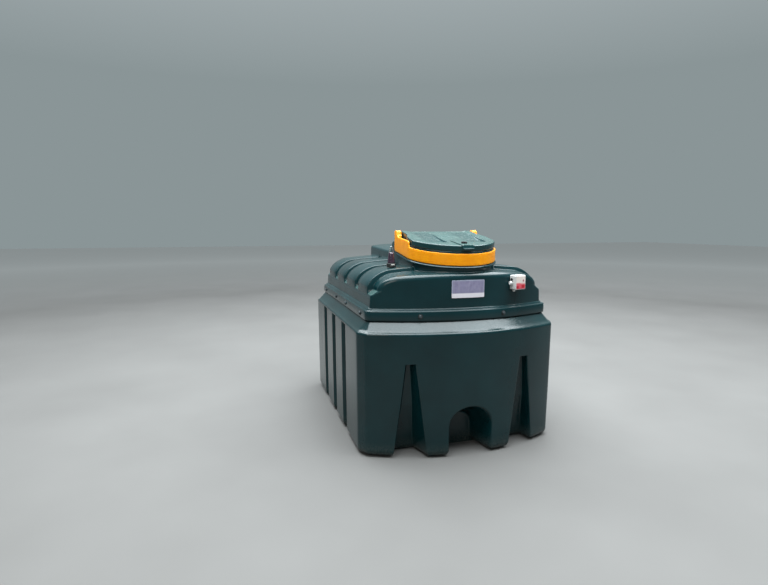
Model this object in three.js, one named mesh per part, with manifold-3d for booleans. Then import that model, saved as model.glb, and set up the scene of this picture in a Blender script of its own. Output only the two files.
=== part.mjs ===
// Bunded waste oil tank: a moulded inner tank standing in an open moulded bund.
// Millimetres, +Z up, +X to the right of the fill end, fill end towards -Y.
// The origin is on the ground under the middle of the bund.

import * as THREE from 'three';
import { ConvexGeometry } from 'three/addons/geometries/ConvexGeometry.js';
import { RoundedBoxGeometry } from 'three/addons/geometries/RoundedBoxGeometry.js';
import { mergeVertices } from 'three/addons/utils/BufferGeometryUtils.js';
import Module from 'manifold-3d';

const wasm = await Module();
wasm.setup();

// Driving dimensions of the whole tank.
const BUND_WIDTH = 1220;
const BUND_LENGTH = 1740;
const WALL = 8;
const SEAT_GAP = 0.3;

// Heights of the bund and of the skirt that caps it.
const BUND_FOOT_RADIUS = 24;
const RIM_Z = 706;
const SHOULDER_TOP_Z = 754;
const LIP_TOP_Z = 796;
const SKIRT_BOTTOM_Z = 763;
const SKIRT_TOP_Z = 817;
const SKIRT_CEILING_Z = 806;
const DOME_FOOT_Z = 833;

// Plan outlines: half width, half length, bow of each end, and the corner facets.
const RIM_PLAN = { halfWidth: BUND_WIDTH / 2, halfLength: BUND_LENGTH / 2, bow: 135, facetX: 36, facetY: 60 };
const SKIRT_PLAN = { halfWidth: 560, halfLength: 812, bow: 120, facetX: 16, facetY: 26 };
const BOW_STEPS = 14;

// Flutes and arch moulded into each end of the bund.
const FLUTE_X = 345;
const FLUTE = { topZ: 536, topHalf: 27, footHalf: 93, floorTopHalf: 12, floorFootHalf: 60 };
const FLUTE_DEPTH = { top: 44, crease: 68, foot: 132 };
const FLUTE_CREASE_Z = 290;
const ARCH = { half: 132, springZ: 178, apexZ: 284, floorHalf: 80, floorSpringZ: 120, floorApexZ: 196, depth: 190 };

// Vertical slots moulded into each side of the bund.
const SLOT_STATIONS = [-320, 0, 320];
const SLOT = { half: 56, floorHalf: 32, depth: 62, topZ: 688, floorTopZ: 640 };

// Inner tank below its skirt.
const VESSEL = { halfWidth: 530, halfLength: 652, bow: 40, facetX: 60, facetY: 60 };
const VESSEL_TOP = { halfWidth: 537, halfLength: 786, bow: 112, facetX: 18, facetY: 26 };
const VESSEL_WIDENS_Z = [570, 690];

// Dome of the inner tank: hoops A to D, with a lower band at each end.
const DOME = { halfWidth: 532, halfLength: 790, bow: 123 };
const DOME_RIDGE_Z = 1056;
const DOME_CROWN = 20;
const SHOULDER = { x: 385, z: 937, wall: 527, power: 1.6 };
const LEDGE = { lowZ: 898, highZ: 926 };
const GROOVE_STATIONS = [-320, 0, 320];
const GROOVE = { half: 30, ramp: 13, roofDepth: 26, sideDepth: 38 };
const BAND_EDGE_Y = 600;
const BAND = { roofDepth: 24, frontDrop: 10, sideDepth: 38, edgeRadius: 40 };

// Raised block moulded into the roof behind the fill neck.
const BLOCK = { half: 190, frontY: -160, rearY: 640, frontZ: 1094, rearZ: 1122, crown: 14, radius: 26 };

// Fill neck, hinge collar and lid: the lid's plane slopes down to the front.
const NECK_Y = -513;
const NECK = { radius: 262, wall: 12, footZ: 978, topZ: 1300 };
const HINGE_PAD = { stepY: -328, topZ: 1182, slopeY: -200, footY: -128, slopeFootZ: 1056 };
const LID_SLOPE = 0.132;
const TILT = Math.atan(LID_SLOPE);
const COLLAR = { radius: 271, frontLowZ: 1058, frontHighZ: 1125 };
const ARM = { rearZ: 1209, frontY: -535, frontZ: 1192 };
const EAR = { innerX: 240, frontY: -328, rearY: -281, thickFromZ: 1198, topZ: 1249, corner: 16 };
const HINGE = { y: -300, z: 1222 };
const LID = { radius: 264, rearRadius: 257, stepY: -50, thickness: 33, rise: 7, hollow: 18, clearance: 11 };
const BARREL = { radius: 20, half: 233, knuckleInnerX: 192, knuckleHeight: 24 };
const PIN = { radius: 6, boreRadius: 7, inBarrel: 24, inEar: 22 };
const PAN = { innerX: 66, outerX: 190, frontY: -96, rearY: 178, depth: 6 };
const LATCH = { half: 36, length: 172, thickness: 4, dropZ: 18, slotHalf: 17, slotY: -190, slotLength: 12 };

// Level gauge on the first hoop, sign and overfill alarm on the fill end.
const GAUGE = { x: -362, y: -513, baseRadius: 27, baseHeight: 23, domeRadius: 22, domeTopRadius: 15, domeHeight: 62 };
const GAUGE_FLOAT = { radius: 9, lowZ: 13, highZ: 46 };
const GAUGE_LOOP = { half: 12, height: 38, wire: 1.6 };
const SIGN = { half: 98, lowZ: 884, highZ: 982, thickness: 3 };
const ALARM = { x: 310, half: 39, depth: 48, lowZ: 918, highZ: 1000, coverThickness: 14, radius: 5 };

// Bolts through the skirt and the bund's lip.
const BOLT_Z = 789;
const BOLT = { radius: 9, headHeight: 6, washerRadius: 14, washerHeight: 2 };
const END_BOLT_X = [-277, 219];
const SIDE_BOLT_Y = [-560, -160, 160, 560];

const FINISH = {
  tank: { color: 0x1e3337, roughness: 0.32, metalness: 0.0 },
  collar: { color: 0xf0a500, roughness: 0.4, metalness: 0.0 },
  steel: { color: 0x8f9496, roughness: 0.35, metalness: 1.0 },
  black: { color: 0x15171a, roughness: 0.5, metalness: 0.0 },
  gauge: { color: 0x3a1f2a, roughness: 0.15, metalness: 0.0 },
  float: { color: 0xb02a26, roughness: 0.45, metalness: 0.0 },
  sign: { color: 0x8a86a0, roughness: 0.45, metalness: 0.0 },
  white: { color: 0xe9e9ea, roughness: 0.4, metalness: 0.0 },
};

const tank = new THREE.Group();

// Closed solids

// A geometry's shared vertices joined and its collapsed triangles dropped, wound outwards.
function closedMesh(geometry) {
  const bare = geometry.clone();
  bare.deleteAttribute('normal');
  bare.deleteAttribute('uv');
  const merged = mergeVertices(bare, 1e-3);
  const index = merged.index.array;
  const kept = [];
  for (let i = 0; i < index.length; i += 3) {
    const [a, b, c] = [index[i], index[i + 1], index[i + 2]];
    if (a !== b && b !== c && c !== a) kept.push(a, b, c);
  }
  const position = merged.attributes.position;
  const [p, q, r] = [new THREE.Vector3(), new THREE.Vector3(), new THREE.Vector3()];
  let volume = 0;
  for (let i = 0; i < kept.length; i += 3) {
    p.fromBufferAttribute(position, kept[i]);
    q.fromBufferAttribute(position, kept[i + 1]);
    r.fromBufferAttribute(position, kept[i + 2]);
    volume += p.dot(q.cross(r));
  }
  if (volume < 0) kept.reverse();
  return { vertices: new Float32Array(position.array), triangles: new Uint32Array(kept) };
}

function solid(geometry) {
  const { vertices, triangles } = closedMesh(geometry);
  return new wasm.Manifold(new wasm.Mesh({ numProp: 3, vertProperties: vertices, triVerts: triangles }));
}

function geometryOf(manifold) {
  const mesh = manifold.getMesh();
  const geometry = new THREE.BufferGeometry();
  geometry.setAttribute('position', new THREE.BufferAttribute(mesh.vertProperties, 3));
  geometry.setIndex(new THREE.BufferAttribute(mesh.triVerts, 1));
  return geometry;
}

function addPiece(name, shape, finish) {
  const geometry = geometryOf(shape);
  geometry.computeVertexNormals();
  const mesh = new THREE.Mesh(geometry, new THREE.MeshStandardMaterial(finish));
  mesh.name = name;
  tank.add(mesh);
}

// A grid of rows of points, each row the same length, as one surface.
function gridSurface(rows) {
  const geometry = new THREE.PlaneGeometry(1, 1, rows[0].length - 1, rows.length - 1);
  const position = geometry.attributes.position;
  rows.flat().forEach((point, i) => position.setXYZ(i, ...point));
  return geometry;
}

// A solid through closed loops at rising heights, closed over the middle of its first and last loop.
function loft(levels) {
  const middle = (z) => [0, 0, z];
  const rows = levels.map(({ z, loop }) => [...loop, loop[0]].map(([x, y]) => [x, y, z]));
  const first = rows[0].map(() => middle(levels[0].z));
  const last = rows[0].map(() => middle(levels[levels.length - 1].z));
  return solid(gridSurface([first, ...rows, last]));
}

function hull(points) {
  return solid(new ConvexGeometry(points.map((point) => new THREE.Vector3(...point))));
}

function unite(shapes) {
  return shapes.reduce((joined, shape) => joined.add(shape));
}

function box(x0, x1, y0, y1, z0, z1) {
  const geometry = new THREE.BoxGeometry(x1 - x0, y1 - y0, z1 - z0);
  geometry.translate((x0 + x1) / 2, (y0 + y1) / 2, (z0 + z1) / 2);
  return solid(geometry);
}

function softBox(x0, x1, y0, y1, z0, z1, radius) {
  const geometry = new RoundedBoxGeometry(x1 - x0, y1 - y0, z1 - z0, 1, radius);
  geometry.translate((x0 + x1) / 2, (y0 + y1) / 2, (z0 + z1) / 2);
  return solid(geometry);
}

// A turned piece: its profile runs from the axis and back to it, and its axis is +Z until it is turned.
function turned(profile, sides, place = (geometry) => geometry) {
  const geometry = new THREE.LatheGeometry(profile.map(([r, z]) => new THREE.Vector2(r, z)), sides);
  geometry.rotateX(Math.PI / 2);
  return solid(place(geometry));
}

function rod(radius, from, to, sides, place) {
  return turned([[0, from], [radius, from], [radius, to], [0, to]], sides, place);
}

const alongX = (x, y, z) => (geometry) => geometry.rotateY(Math.PI / 2).translate(x, y, z);
const upright = (x, y, z) => (geometry) => geometry.translate(x, y, z);

// Plan outlines

// One outline of the bund's family, counterclockwise from the front left: bowed end, facet, side, and again.
function outline(plan, inset = 0) {
  const halfWidth = plan.halfWidth - inset;
  const halfLength = plan.halfLength - inset;
  const endHalf = halfWidth - plan.facetX;
  const sideY = halfLength - plan.bow - plan.facetY;
  const half = [];
  for (let i = 0; i <= BOW_STEPS; i += 1) {
    const across = (2 * i) / BOW_STEPS - 1;
    half.push([endHalf * across, plan.bow * across ** 2 - halfLength]);
  }
  half.push([halfWidth, -sideY]);
  half.push([halfWidth, 0]);
  half.push([halfWidth, sideY]);
  return [...half, ...half.map(([x, y]) => [-x, -y])];
}

function blend(a, b, t) {
  return Object.fromEntries(Object.keys(a).map((key) => [key, a[key] + (b[key] - a[key]) * t]));
}

// Bund

// The end face's distance behind its middle, at x.
function endBow(x) {
  return RIM_PLAN.bow * (x / (RIM_PLAN.halfWidth - RIM_PLAN.facetX)) ** 2;
}

// The hollows of one end, grown by the wall where they are seen from inside.
function fluteCutter(side, grow) {
  const x = side * FLUTE_X;
  const face = endBow(FLUTE_X) - RIM_PLAN.halfLength;
  const outside = 60;
  const spread = (half, z) => half + grow + ((FLUTE.footHalf - FLUTE.topHalf) * (FLUTE.topZ - z)) / FLUTE.topZ;
  const narrow = (z) => {
    const t = (FLUTE.topZ - z) / FLUTE.topZ;
    return FLUTE.floorTopHalf + grow + (FLUTE.floorFootHalf - FLUTE.floorTopHalf) * t;
  };
  const slice = (z, depth, top) => {
    const mouth = spread(FLUTE.topHalf, z);
    const floor = narrow(z);
    return [
      [x - mouth, face, top], [x + mouth, face, top],
      [x - mouth, face - outside, top], [x + mouth, face - outside, top],
      [x - floor, face + depth + grow, top], [x + floor, face + depth + grow, top],
    ];
  };
  const top = slice(FLUTE.topZ, FLUTE_DEPTH.top, FLUTE.topZ + grow);
  const crease = slice(FLUTE_CREASE_Z, FLUTE_DEPTH.crease, FLUTE_CREASE_Z);
  const foot = slice(0, FLUTE_DEPTH.foot, -1);
  return hull([...top, ...crease]).add(hull([...crease, ...foot]));
}

function archOutline(half, springZ, apexZ, y) {
  const points = [[-half, y, -1], [half, y, -1]];
  const steps = 10;
  for (let i = 0; i <= steps; i += 1) {
    const turn = (Math.PI * i) / steps;
    points.push([half * Math.cos(turn), y, springZ + (apexZ - springZ) * Math.sin(turn)]);
  }
  return points;
}

function archCutter(grow) {
  const front = -RIM_PLAN.halfLength - 20;
  const back = -RIM_PLAN.halfLength + ARCH.depth + grow;
  const mouth = archOutline(ARCH.half + grow, ARCH.springZ, ARCH.apexZ + grow, front + 20);
  const outside = archOutline(ARCH.half + grow, ARCH.springZ, ARCH.apexZ + grow, front);
  const floor = archOutline(ARCH.floorHalf + grow, ARCH.floorSpringZ, ARCH.floorApexZ + grow, back);
  return hull([...mouth, ...outside, ...floor]);
}

function slotCutter(side, station, grow) {
  const face = side * RIM_PLAN.halfWidth;
  const outside = face + side * 20;
  const floor = face - side * (SLOT.depth + grow);
  const points = [];
  for (const along of [-1, 1]) {
    const mouth = station + along * (SLOT.half + grow);
    const bottom = station + along * (SLOT.floorHalf + grow);
    points.push([face, mouth, -1], [face, mouth, SLOT.topZ + grow]);
    points.push([outside, mouth, -1], [outside, mouth, SLOT.topZ + grow]);
    points.push([floor, bottom, -1], [floor, bottom, SLOT.floorTopZ + grow]);
  }
  return hull(points);
}

function bundHollows(grow) {
  const atFront = [fluteCutter(-1, grow), fluteCutter(1, grow), archCutter(grow)];
  const atBack = atFront.map((cutter) => cutter.rotate([0, 0, 180]));
  const slots = [-1, 1].flatMap((side) => SLOT_STATIONS.map((station) => slotCutter(side, station, grow)));
  return unite([...atFront, ...atBack, ...slots]);
}

// The bund's outer or inner surface: drafted wall, rounded rim, shoulder, and the lip inside the skirt.
function bundBody(inset) {
  const draft = 6;
  const lip = 11;
  const skirtSide = (t, extra) => outline(blend(RIM_PLAN, SKIRT_PLAN, t), inset + extra);
  const floorZ = inset;
  const topZ = inset ? LIP_TOP_Z + 20 : LIP_TOP_Z;
  const drop = inset * 0.4;
  return loft([
    { z: floorZ, loop: outline(RIM_PLAN, inset + BUND_FOOT_RADIUS) },
    { z: floorZ + BUND_FOOT_RADIUS * 0.3, loop: outline(RIM_PLAN, inset + draft + BUND_FOOT_RADIUS * 0.3) },
    { z: floorZ + BUND_FOOT_RADIUS, loop: outline(RIM_PLAN, inset + draft) },
    { z: FLUTE_CREASE_Z, loop: outline(RIM_PLAN, inset + draft * 0.5) },
    { z: RIM_Z - 14 - drop, loop: outline(RIM_PLAN, inset) },
    { z: RIM_Z - 4 - drop, loop: outline(RIM_PLAN, inset + 3) },
    { z: RIM_Z - drop, loop: outline(RIM_PLAN, inset + 10) },
    { z: SHOULDER_TOP_Z - drop, loop: skirtSide(1, 4) },
    { z: SHOULDER_TOP_Z + 6 - drop, loop: skirtSide(1, lip) },
    { z: topZ, loop: skirtSide(1, lip) },
  ]);
}

const bundShell = bundBody(0).subtract(bundHollows(0)).subtract(bundBody(WALL).subtract(bundHollows(WALL)));
addPiece('bund_shell', bundShell, FINISH.tank);

// Inner tank

function vesselBody(inset) {
  const floorZ = WALL + SEAT_GAP + inset;
  const [startZ, endZ] = VESSEL_WIDENS_Z;
  const topZ = inset ? SKIRT_CEILING_Z + 20 : SKIRT_CEILING_Z - SEAT_GAP;
  return loft([
    { z: floorZ, loop: outline(VESSEL, inset + 26) },
    { z: floorZ + 26, loop: outline(VESSEL, inset) },
    { z: startZ, loop: outline(VESSEL, inset) },
    { z: endZ, loop: outline(VESSEL_TOP, inset) },
    { z: topZ, loop: outline(VESSEL_TOP, inset) },
  ]);
}

addPiece('inner_tank_body', vesselBody(0).subtract(vesselBody(WALL)), FINISH.tank);

// Half of the dome's arched section, from the foot of the wall to the ridge.
function archSection({ roof, side, low, inset }) {
  const wall = SHOULDER.wall - side - inset;
  const roofDrop = roof + inset;
  const rise = DOME_RIDGE_Z - DOME_CROWN - SHOULDER.z - roofDrop;
  const points = [
    [DOME.halfWidth - low - inset, DOME_FOOT_Z - 12],
    [SHOULDER.wall - low - inset, LEDGE.lowZ],
    [wall, LEDGE.highZ],
  ];
  const steps = 6;
  for (let i = 1; i <= steps; i += 1) {
    const turn = (Math.PI / 2) * (i / steps);
    const across = Math.cos(turn) ** (2 / SHOULDER.power);
    const up = Math.sin(turn) ** (2 / SHOULDER.power);
    points.push([SHOULDER.x + (wall - SHOULDER.x) * across, SHOULDER.z + rise * up]);
  }
  for (const share of [0.75, 0.5, 0.25, 0]) {
    const crown = DOME_CROWN * (1 - share ** 2);
    points.push([SHOULDER.x * share, SHOULDER.z + rise + crown]);
  }
  return points;
}

// Stations of the dome along Y, front to back, each with how far its section lies inside the hoops.
function domeStations(inset) {
  const edge = BAND.edgeRadius;
  const atEnd = DOME.halfLength - inset;
  const band = { roof: BAND.roofDepth, side: BAND.sideDepth, low: 0 };
  const bandEnd = { ...band, roof: BAND.roofDepth + BAND.frontDrop };
  const sunk = (extra, low) => ({ roof: bandEnd.roof + extra, side: bandEnd.side + extra, low });
  const groove = { roof: GROOVE.roofDepth, side: GROOVE.sideDepth, low: 0 };
  const hoop = { roof: 0, side: 0, low: 0 };
  const front = [
    [-atEnd, sunk(edge, 16)],
    [-atEnd + edge * 0.3, sunk(edge * 0.3, 5)],
    [-atEnd + edge, sunk(0, 0)],
    [-BAND_EDGE_Y + inset, band],
    [-BAND_EDGE_Y + inset + GROOVE.ramp, hoop],
  ];
  const grooves = GROOVE_STATIONS.flatMap((station) => [
    [station - GROOVE.half - GROOVE.ramp - inset, hoop],
    [station - GROOVE.half - inset, groove],
    [station + GROOVE.half + inset, groove],
    [station + GROOVE.half + GROOVE.ramp + inset, hoop],
  ]);
  const back = front.map(([y, section]) => [-y, section]).reverse();
  return [...front, ...grooves, ...back];
}

function domeBody(inset) {
  const baseZ = DOME_FOOT_Z - 12;
  const bowed = (x, y) => {
    const reach = Math.max(0, (Math.abs(y) - BAND_EDGE_Y) / (DOME.halfLength - BAND_EDGE_Y));
    return y - Math.sign(y) * reach * DOME.bow * (x / DOME.halfWidth) ** 2;
  };
  const row = ([y, depth], flat) => {
    const half = archSection({ ...depth, inset });
    const whole = [...half, ...half.slice(0, -1).reverse().map(([x, z]) => [-x, z])];
    const arch = whole.map(([x, z]) => [x, bowed(x, y), flat ? baseZ : z]);
    const base = whole.map(([x]) => [x, bowed(x, y), baseZ]).reverse();
    return [...arch, ...base, arch[0]];
  };
  const stations = domeStations(inset);
  const rows = stations.map((station) => row(station, false));
  return solid(gridSurface([row(stations[0], true), ...rows, row(stations[stations.length - 1], true)]));
}

function raisedBlock(inset) {
  const { half, frontY, rearY, frontZ, rearZ, crown, radius } = BLOCK;
  const points = [];
  for (const [y, z] of [[frontY, frontZ], [rearY, rearZ]]) {
    const into = y === frontY ? 1 : -1;
    const wallY = y + into * inset;
    for (const side of [-1, 1]) {
      points.push([side * (half - inset), wallY, 990], [side * (half - inset - 4), wallY, z - radius - inset]);
      points.push([side * (half - inset - 12), wallY + into * 8, z - 8 - inset]);
      points.push([side * (half - inset - radius - 4), wallY + into * radius, z - inset]);
    }
    points.push([0, wallY + into * (radius + 10), z + crown - inset]);
  }
  return hull(points);
}

// The skirt that hangs over the bund's lip, with the double step at its top.
function skirtBody() {
  return loft([
    { z: SKIRT_BOTTOM_Z, loop: outline(SKIRT_PLAN, 2) },
    { z: SKIRT_BOTTOM_Z + 3, loop: outline(SKIRT_PLAN, 0) },
    { z: SKIRT_TOP_Z - 4, loop: outline(SKIRT_PLAN, 0) },
    { z: SKIRT_TOP_Z, loop: outline(SKIRT_PLAN, 3) },
    { z: SKIRT_TOP_Z + 2, loop: outline(SKIRT_PLAN, 12) },
    { z: SKIRT_TOP_Z + 8, loop: outline(SKIRT_PLAN, 14) },
    { z: SKIRT_TOP_Z + 10, loop: outline(SKIRT_PLAN, 22) },
    { z: DOME_FOOT_Z, loop: outline(SKIRT_PLAN, 23) },
  ]);
}

function skirtHollow() {
  return loft([
    { z: SKIRT_BOTTOM_Z - 5, loop: outline(SKIRT_PLAN, WALL) },
    { z: SKIRT_CEILING_Z, loop: outline(SKIRT_PLAN, WALL) },
  ]);
}

// The dome's own hollow, carried down through the skirt's ceiling.
function domeThroat() {
  const foot = { halfWidth: DOME.halfWidth - WALL, halfLength: DOME.halfLength - WALL - 6, bow: 116, facetX: 8, facetY: 12 };
  return loft([
    { z: SKIRT_CEILING_Z - 5, loop: outline(foot) },
    { z: DOME_FOOT_Z - 8, loop: outline(foot) },
  ]);
}

// Fill neck

const slopeZ = (frontZ, y) => frontZ + LID_SLOPE * (y - NECK_Y + COLLAR.radius);
const lidBottomFrontZ = COLLAR.frontHighZ + LID.clearance;
const rimFrontZ = lidBottomFrontZ - SEAT_GAP / Math.cos(TILT);

// Plan of the neck and of the collar round it: a half circle in front, with straight sides back to rearY.
function neckPlan(radius, rearY) {
  const shape = new THREE.Shape();
  shape.moveTo(radius, rearY);
  shape.lineTo(-radius, rearY);
  shape.lineTo(-radius, NECK_Y);
  shape.absarc(0, NECK_Y, radius, Math.PI, 2 * Math.PI, false);
  return shape;
}

function neckPrism(radius, rearY, lowZ) {
  const depth = NECK.topZ - lowZ;
  const prism = new THREE.ExtrudeGeometry(neckPlan(radius, rearY), { depth, bevelEnabled: false, curveSegments: 20 });
  return solid(prism.translate(0, 0, lowZ));
}

// A shape drawn along Y and Z, extruded across the tank.
function acrossTank(shape) {
  const side = new THREE.ExtrudeGeometry(shape, { depth: 700, bevelEnabled: false, curveSegments: 5 });
  side.applyMatrix4(new THREE.Matrix4().set(0, 0, 1, -350, 1, 0, 0, 0, 0, 1, 0, 0, 0, 0, 0, 1));
  return solid(side);
}

// The neck's side view: its sloping rim, the lower pad under the hinge, and the slope down behind it.
function neckSide(inset, lowZ) {
  const { stepY, topZ, slopeY, footY, slopeFootZ } = HINGE_PAD;
  const endY = NECK_Y - 300;
  const shape = new THREE.Shape();
  shape.moveTo(endY, lowZ);
  shape.lineTo(footY - inset, lowZ);
  shape.lineTo(footY - inset, slopeFootZ - inset / 3);
  shape.lineTo(slopeY - inset / 2, topZ - inset);
  shape.lineTo(stepY - inset, topZ - inset);
  shape.lineTo(stepY - inset, slopeZ(rimFrontZ, stepY - inset) - inset);
  shape.lineTo(endY, slopeZ(rimFrontZ, endY) - inset);
  return acrossTank(shape);
}

function neckBody(inset) {
  const { radius, footZ } = NECK;
  const lowZ = inset ? footZ - 60 : footZ;
  return neckPrism(radius - inset, HINGE_PAD.footY, lowZ).intersect(neckSide(inset, lowZ));
}

// The round bore under the lid, flat towards the hinge.
const boreRearY = HINGE_PAD.stepY - NECK.wall;
const neckBore = rod(NECK.radius - NECK.wall, NECK.footZ - 60, NECK.topZ + 5, 44, upright(0, NECK_Y, 0))
  .subtract(box(-300, 300, boreRearY, 0, NECK.footZ - 70, NECK.topZ + 10));

const roofOutside = unite([skirtBody(), domeBody(0), raisedBlock(0), neckBody(0)]);
const roofInside = unite([
  skirtHollow(), domeThroat(), domeBody(WALL), raisedBlock(WALL), neckBody(NECK.wall), neckBore,
]);
addPiece('inner_tank_roof', roofOutside.subtract(roofInside), FINISH.tank);

// Hinge collar and lid

// The collar seen from its side: a sloping band, a higher arm beside the lid's rear half, and a round-cornered ear.
function collarSide() {
  const { frontY, rearY, topZ, corner } = EAR;
  const endY = NECK_Y - 300;
  const lowZ = (y) => slopeZ(COLLAR.frontLowZ, y);
  const highZ = (y) => slopeZ(COLLAR.frontHighZ, y);
  const shape = new THREE.Shape();
  shape.moveTo(endY, lowZ(endY));
  shape.lineTo(rearY - 12, lowZ(rearY - 12));
  shape.quadraticCurveTo(rearY, lowZ(rearY), rearY, lowZ(rearY) + 12);
  shape.lineTo(rearY, topZ - corner);
  shape.quadraticCurveTo(rearY, topZ, rearY - corner, topZ);
  shape.lineTo(frontY + corner, topZ);
  shape.quadraticCurveTo(frontY, topZ, frontY - 3, topZ - corner);
  shape.quadraticCurveTo(frontY - 9, ARM.rearZ + 4, frontY - 30, ARM.rearZ);
  shape.lineTo(ARM.frontY, ARM.frontZ);
  shape.quadraticCurveTo(ARM.frontY - 8, ARM.frontZ - 1, ARM.frontY - 10, ARM.frontZ - 14);
  shape.quadraticCurveTo(ARM.frontY - 13, highZ(ARM.frontY - 24) + 2, ARM.frontY - 24, highZ(ARM.frontY - 24));
  shape.lineTo(endY, highZ(endY));
  return acrossTank(shape);
}

const bothSides = (shape) => shape.add(shape.mirror([1, 0, 0]));
const band = neckPrism(COLLAR.radius, EAR.rearY + 20, 1030)
  .subtract(neckPrism(NECK.radius + SEAT_GAP, EAR.rearY + 60, 1020));
const ear = box(EAR.innerX, COLLAR.radius, EAR.frontY - 16, EAR.rearY + 20, EAR.thickFromZ, NECK.topZ);
const pinSocket = rod(PIN.radius + SEAT_GAP, 200, EAR.innerX + PIN.inEar + 1, 12, alongX(0, HINGE.y, HINGE.z));
addPiece('hinge_collar', band.add(bothSides(ear)).intersect(collarSide()).subtract(bothSides(pinSocket)), FINISH.collar);

const pin = rod(PIN.radius, BARREL.half - PIN.inBarrel, EAR.innerX + PIN.inEar, 12, alongX(0, HINGE.y, HINGE.z));
addPiece('hinge_pin_left', pin.mirror([1, 0, 0]), FINISH.black);
addPiece('hinge_pin_right', pin, FINISH.black);

// The lid is drawn level about its own middle, then tilted and set on the neck.
function onLid(shape) {
  const z = slopeZ(lidBottomFrontZ, NECK_Y);
  return shape.rotate([(TILT * 180) / Math.PI, 0, 0]).translate([0, NECK_Y, z]);
}

// The place in the lid's own level drawing that ends up at the given place on the tank.
function lidLevel(y, z) {
  const [dy, dz] = [y - NECK_Y, z - slopeZ(lidBottomFrontZ, NECK_Y)];
  return [dy * Math.cos(TILT) + dz * Math.sin(TILT), dz * Math.cos(TILT) - dy * Math.sin(TILT)];
}

// The lid's top seen from its side: level over the front half, then climbing a little towards the hinge.
function lidSide(frontY, drop, rearDrop) {
  const { thickness, rise } = LID;
  const top = [[frontY, thickness - drop], [-30, thickness - drop], [35, thickness + rise - 1 - drop],
    [85, thickness + rise - drop], [PAN.rearY, thickness + rise - rearDrop], [300, thickness + rise - rearDrop]];
  return top.map(([y, z]) => new THREE.Vector2(y, z));
}

// Half of the lid's sunk area, beside its raised middle panel. It runs out towards the hinge.
function panCutter() {
  const { innerX, outerX, frontY, rearY, depth } = PAN;
  const shape = new THREE.Shape();
  shape.moveTo(innerX - 8, frontY);
  shape.lineTo(outerX - 40, frontY);
  shape.quadraticCurveTo(outerX, frontY, outerX, frontY + 50);
  shape.lineTo(outerX, rearY);
  shape.lineTo(innerX, rearY);
  const pan = solid(new THREE.ExtrudeGeometry(shape, { depth: 60, bevelEnabled: false, curveSegments: 5 }));
  const over = [...lidSide(-300, depth, 1), new THREE.Vector2(300, 80), new THREE.Vector2(-300, 80)];
  return pan.intersect(acrossTank(new THREE.Shape(over)));
}

// The disc's front half overhangs the collar; its rear half is narrower and lies between the collar's arms.
function lidDisc() {
  const { radius, rearRadius, stepY, thickness } = LID;
  const rim = [[radius - 3, 0], [radius, 4], [radius, thickness - 6], [radius - 6, thickness]];
  const front = turned([[0, 0], ...rim, [0, thickness]], 48)
    .intersect(box(-300, 300, -300, stepY, -5, thickness + 5));
  const under = [new THREE.Vector2(300, -5), new THREE.Vector2(stepY - 10, -5)];
  const rear = turned([[0, 0], [rearRadius - 3, 0], [rearRadius, 4], [rearRadius, thickness + 20], [0, thickness + 20]], 48)
    .intersect(acrossTank(new THREE.Shape([...lidSide(stepY - 10, 0, 0), ...under])));
  return front.add(rear);
}

function lidShape() {
  const { thickness, rise, hollow } = LID;
  const { radius, half, knuckleInnerX, knuckleHeight } = BARREL;
  const [hingeY, hingeZ] = lidLevel(HINGE.y, HINGE.z);
  const disc = lidDisc().subtract(box(-300, 300, hingeY, 300, -10, thickness + 30));
  const flap = hull([-half, half].flatMap((x) => [
    [x, 95, 2], [x, 95, thickness + rise - 0.5], [x, hingeY - 12, hingeZ - 16], [x, hingeY - 4, hingeZ + radius - 2],
    [x, hingeY, hingeZ - 10], [x, hingeY, hingeZ + 10],
  ]));
  const knuckle = hull([knuckleInnerX, half].flatMap((x) => [
    [x, 95, 5], [x, 95, thickness + rise - 1], [x, 150, thickness + rise + 3], [x, hingeY - 12, hingeZ + knuckleHeight - 2],
    [x, hingeY + 3, hingeZ + knuckleHeight], [x, hingeY + 13, hingeZ + 17], [x, hingeY + 17, hingeZ + 4],
    [x, hingeY, hingeZ - 10],
  ]));
  const barrel = rod(radius, -half, half, 20, alongX(0, hingeY, hingeZ));
  const bore = rod(PIN.boreRadius, -half - 5, half + 5, 12, alongX(0, hingeY, hingeZ));
  const [pocketRearY] = lidLevel(boreRearY - 6, slopeZ(lidBottomFrontZ, boreRearY - 6));
  const pocket = rod(NECK.radius - NECK.wall - 16, -5, hollow, 40)
    .subtract(box(-300, 300, pocketRearY, 300, -10, hollow + 20));
  return unite([disc, flap, barrel, bothSides(knuckle)]).subtract(unite([bothSides(panCutter()), pocket, bore]));
}

addPiece('lid', onLid(lidShape()), FINISH.tank);

// The latch plate lies on the lid's front and hooks over its edge.
function latchShape() {
  const { half, length, thickness, dropZ, slotHalf, slotY, slotLength } = LATCH;
  const frontY = -LID.radius - SEAT_GAP;
  const seatZ = LID.thickness + SEAT_GAP;
  const topZ = seatZ + thickness;
  const plate = hull([-1, 1].flatMap((side) => [
    [side * (half + 4), frontY + length, seatZ], [side * (half + 2), frontY + length - 3, topZ],
    [side * half, frontY, seatZ], [side * half, frontY, topZ],
  ]));
  const hook = hull([-1, 1].flatMap((side) => [
    [side * half, frontY, seatZ], [side * half, frontY - thickness, seatZ], [side * half, frontY, topZ],
    [side * (half - 3), frontY - thickness, topZ - dropZ], [side * (half - 3), frontY, topZ - dropZ],
  ]));
  const slot = box(-slotHalf, slotHalf, slotY - slotLength / 2, slotY + slotLength / 2, seatZ - 5, topZ + 5);
  return plate.add(hook).subtract(slot);
}

addPiece('lid_latch', onLid(latchShape()), FINISH.tank);

// Level gauge

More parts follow.
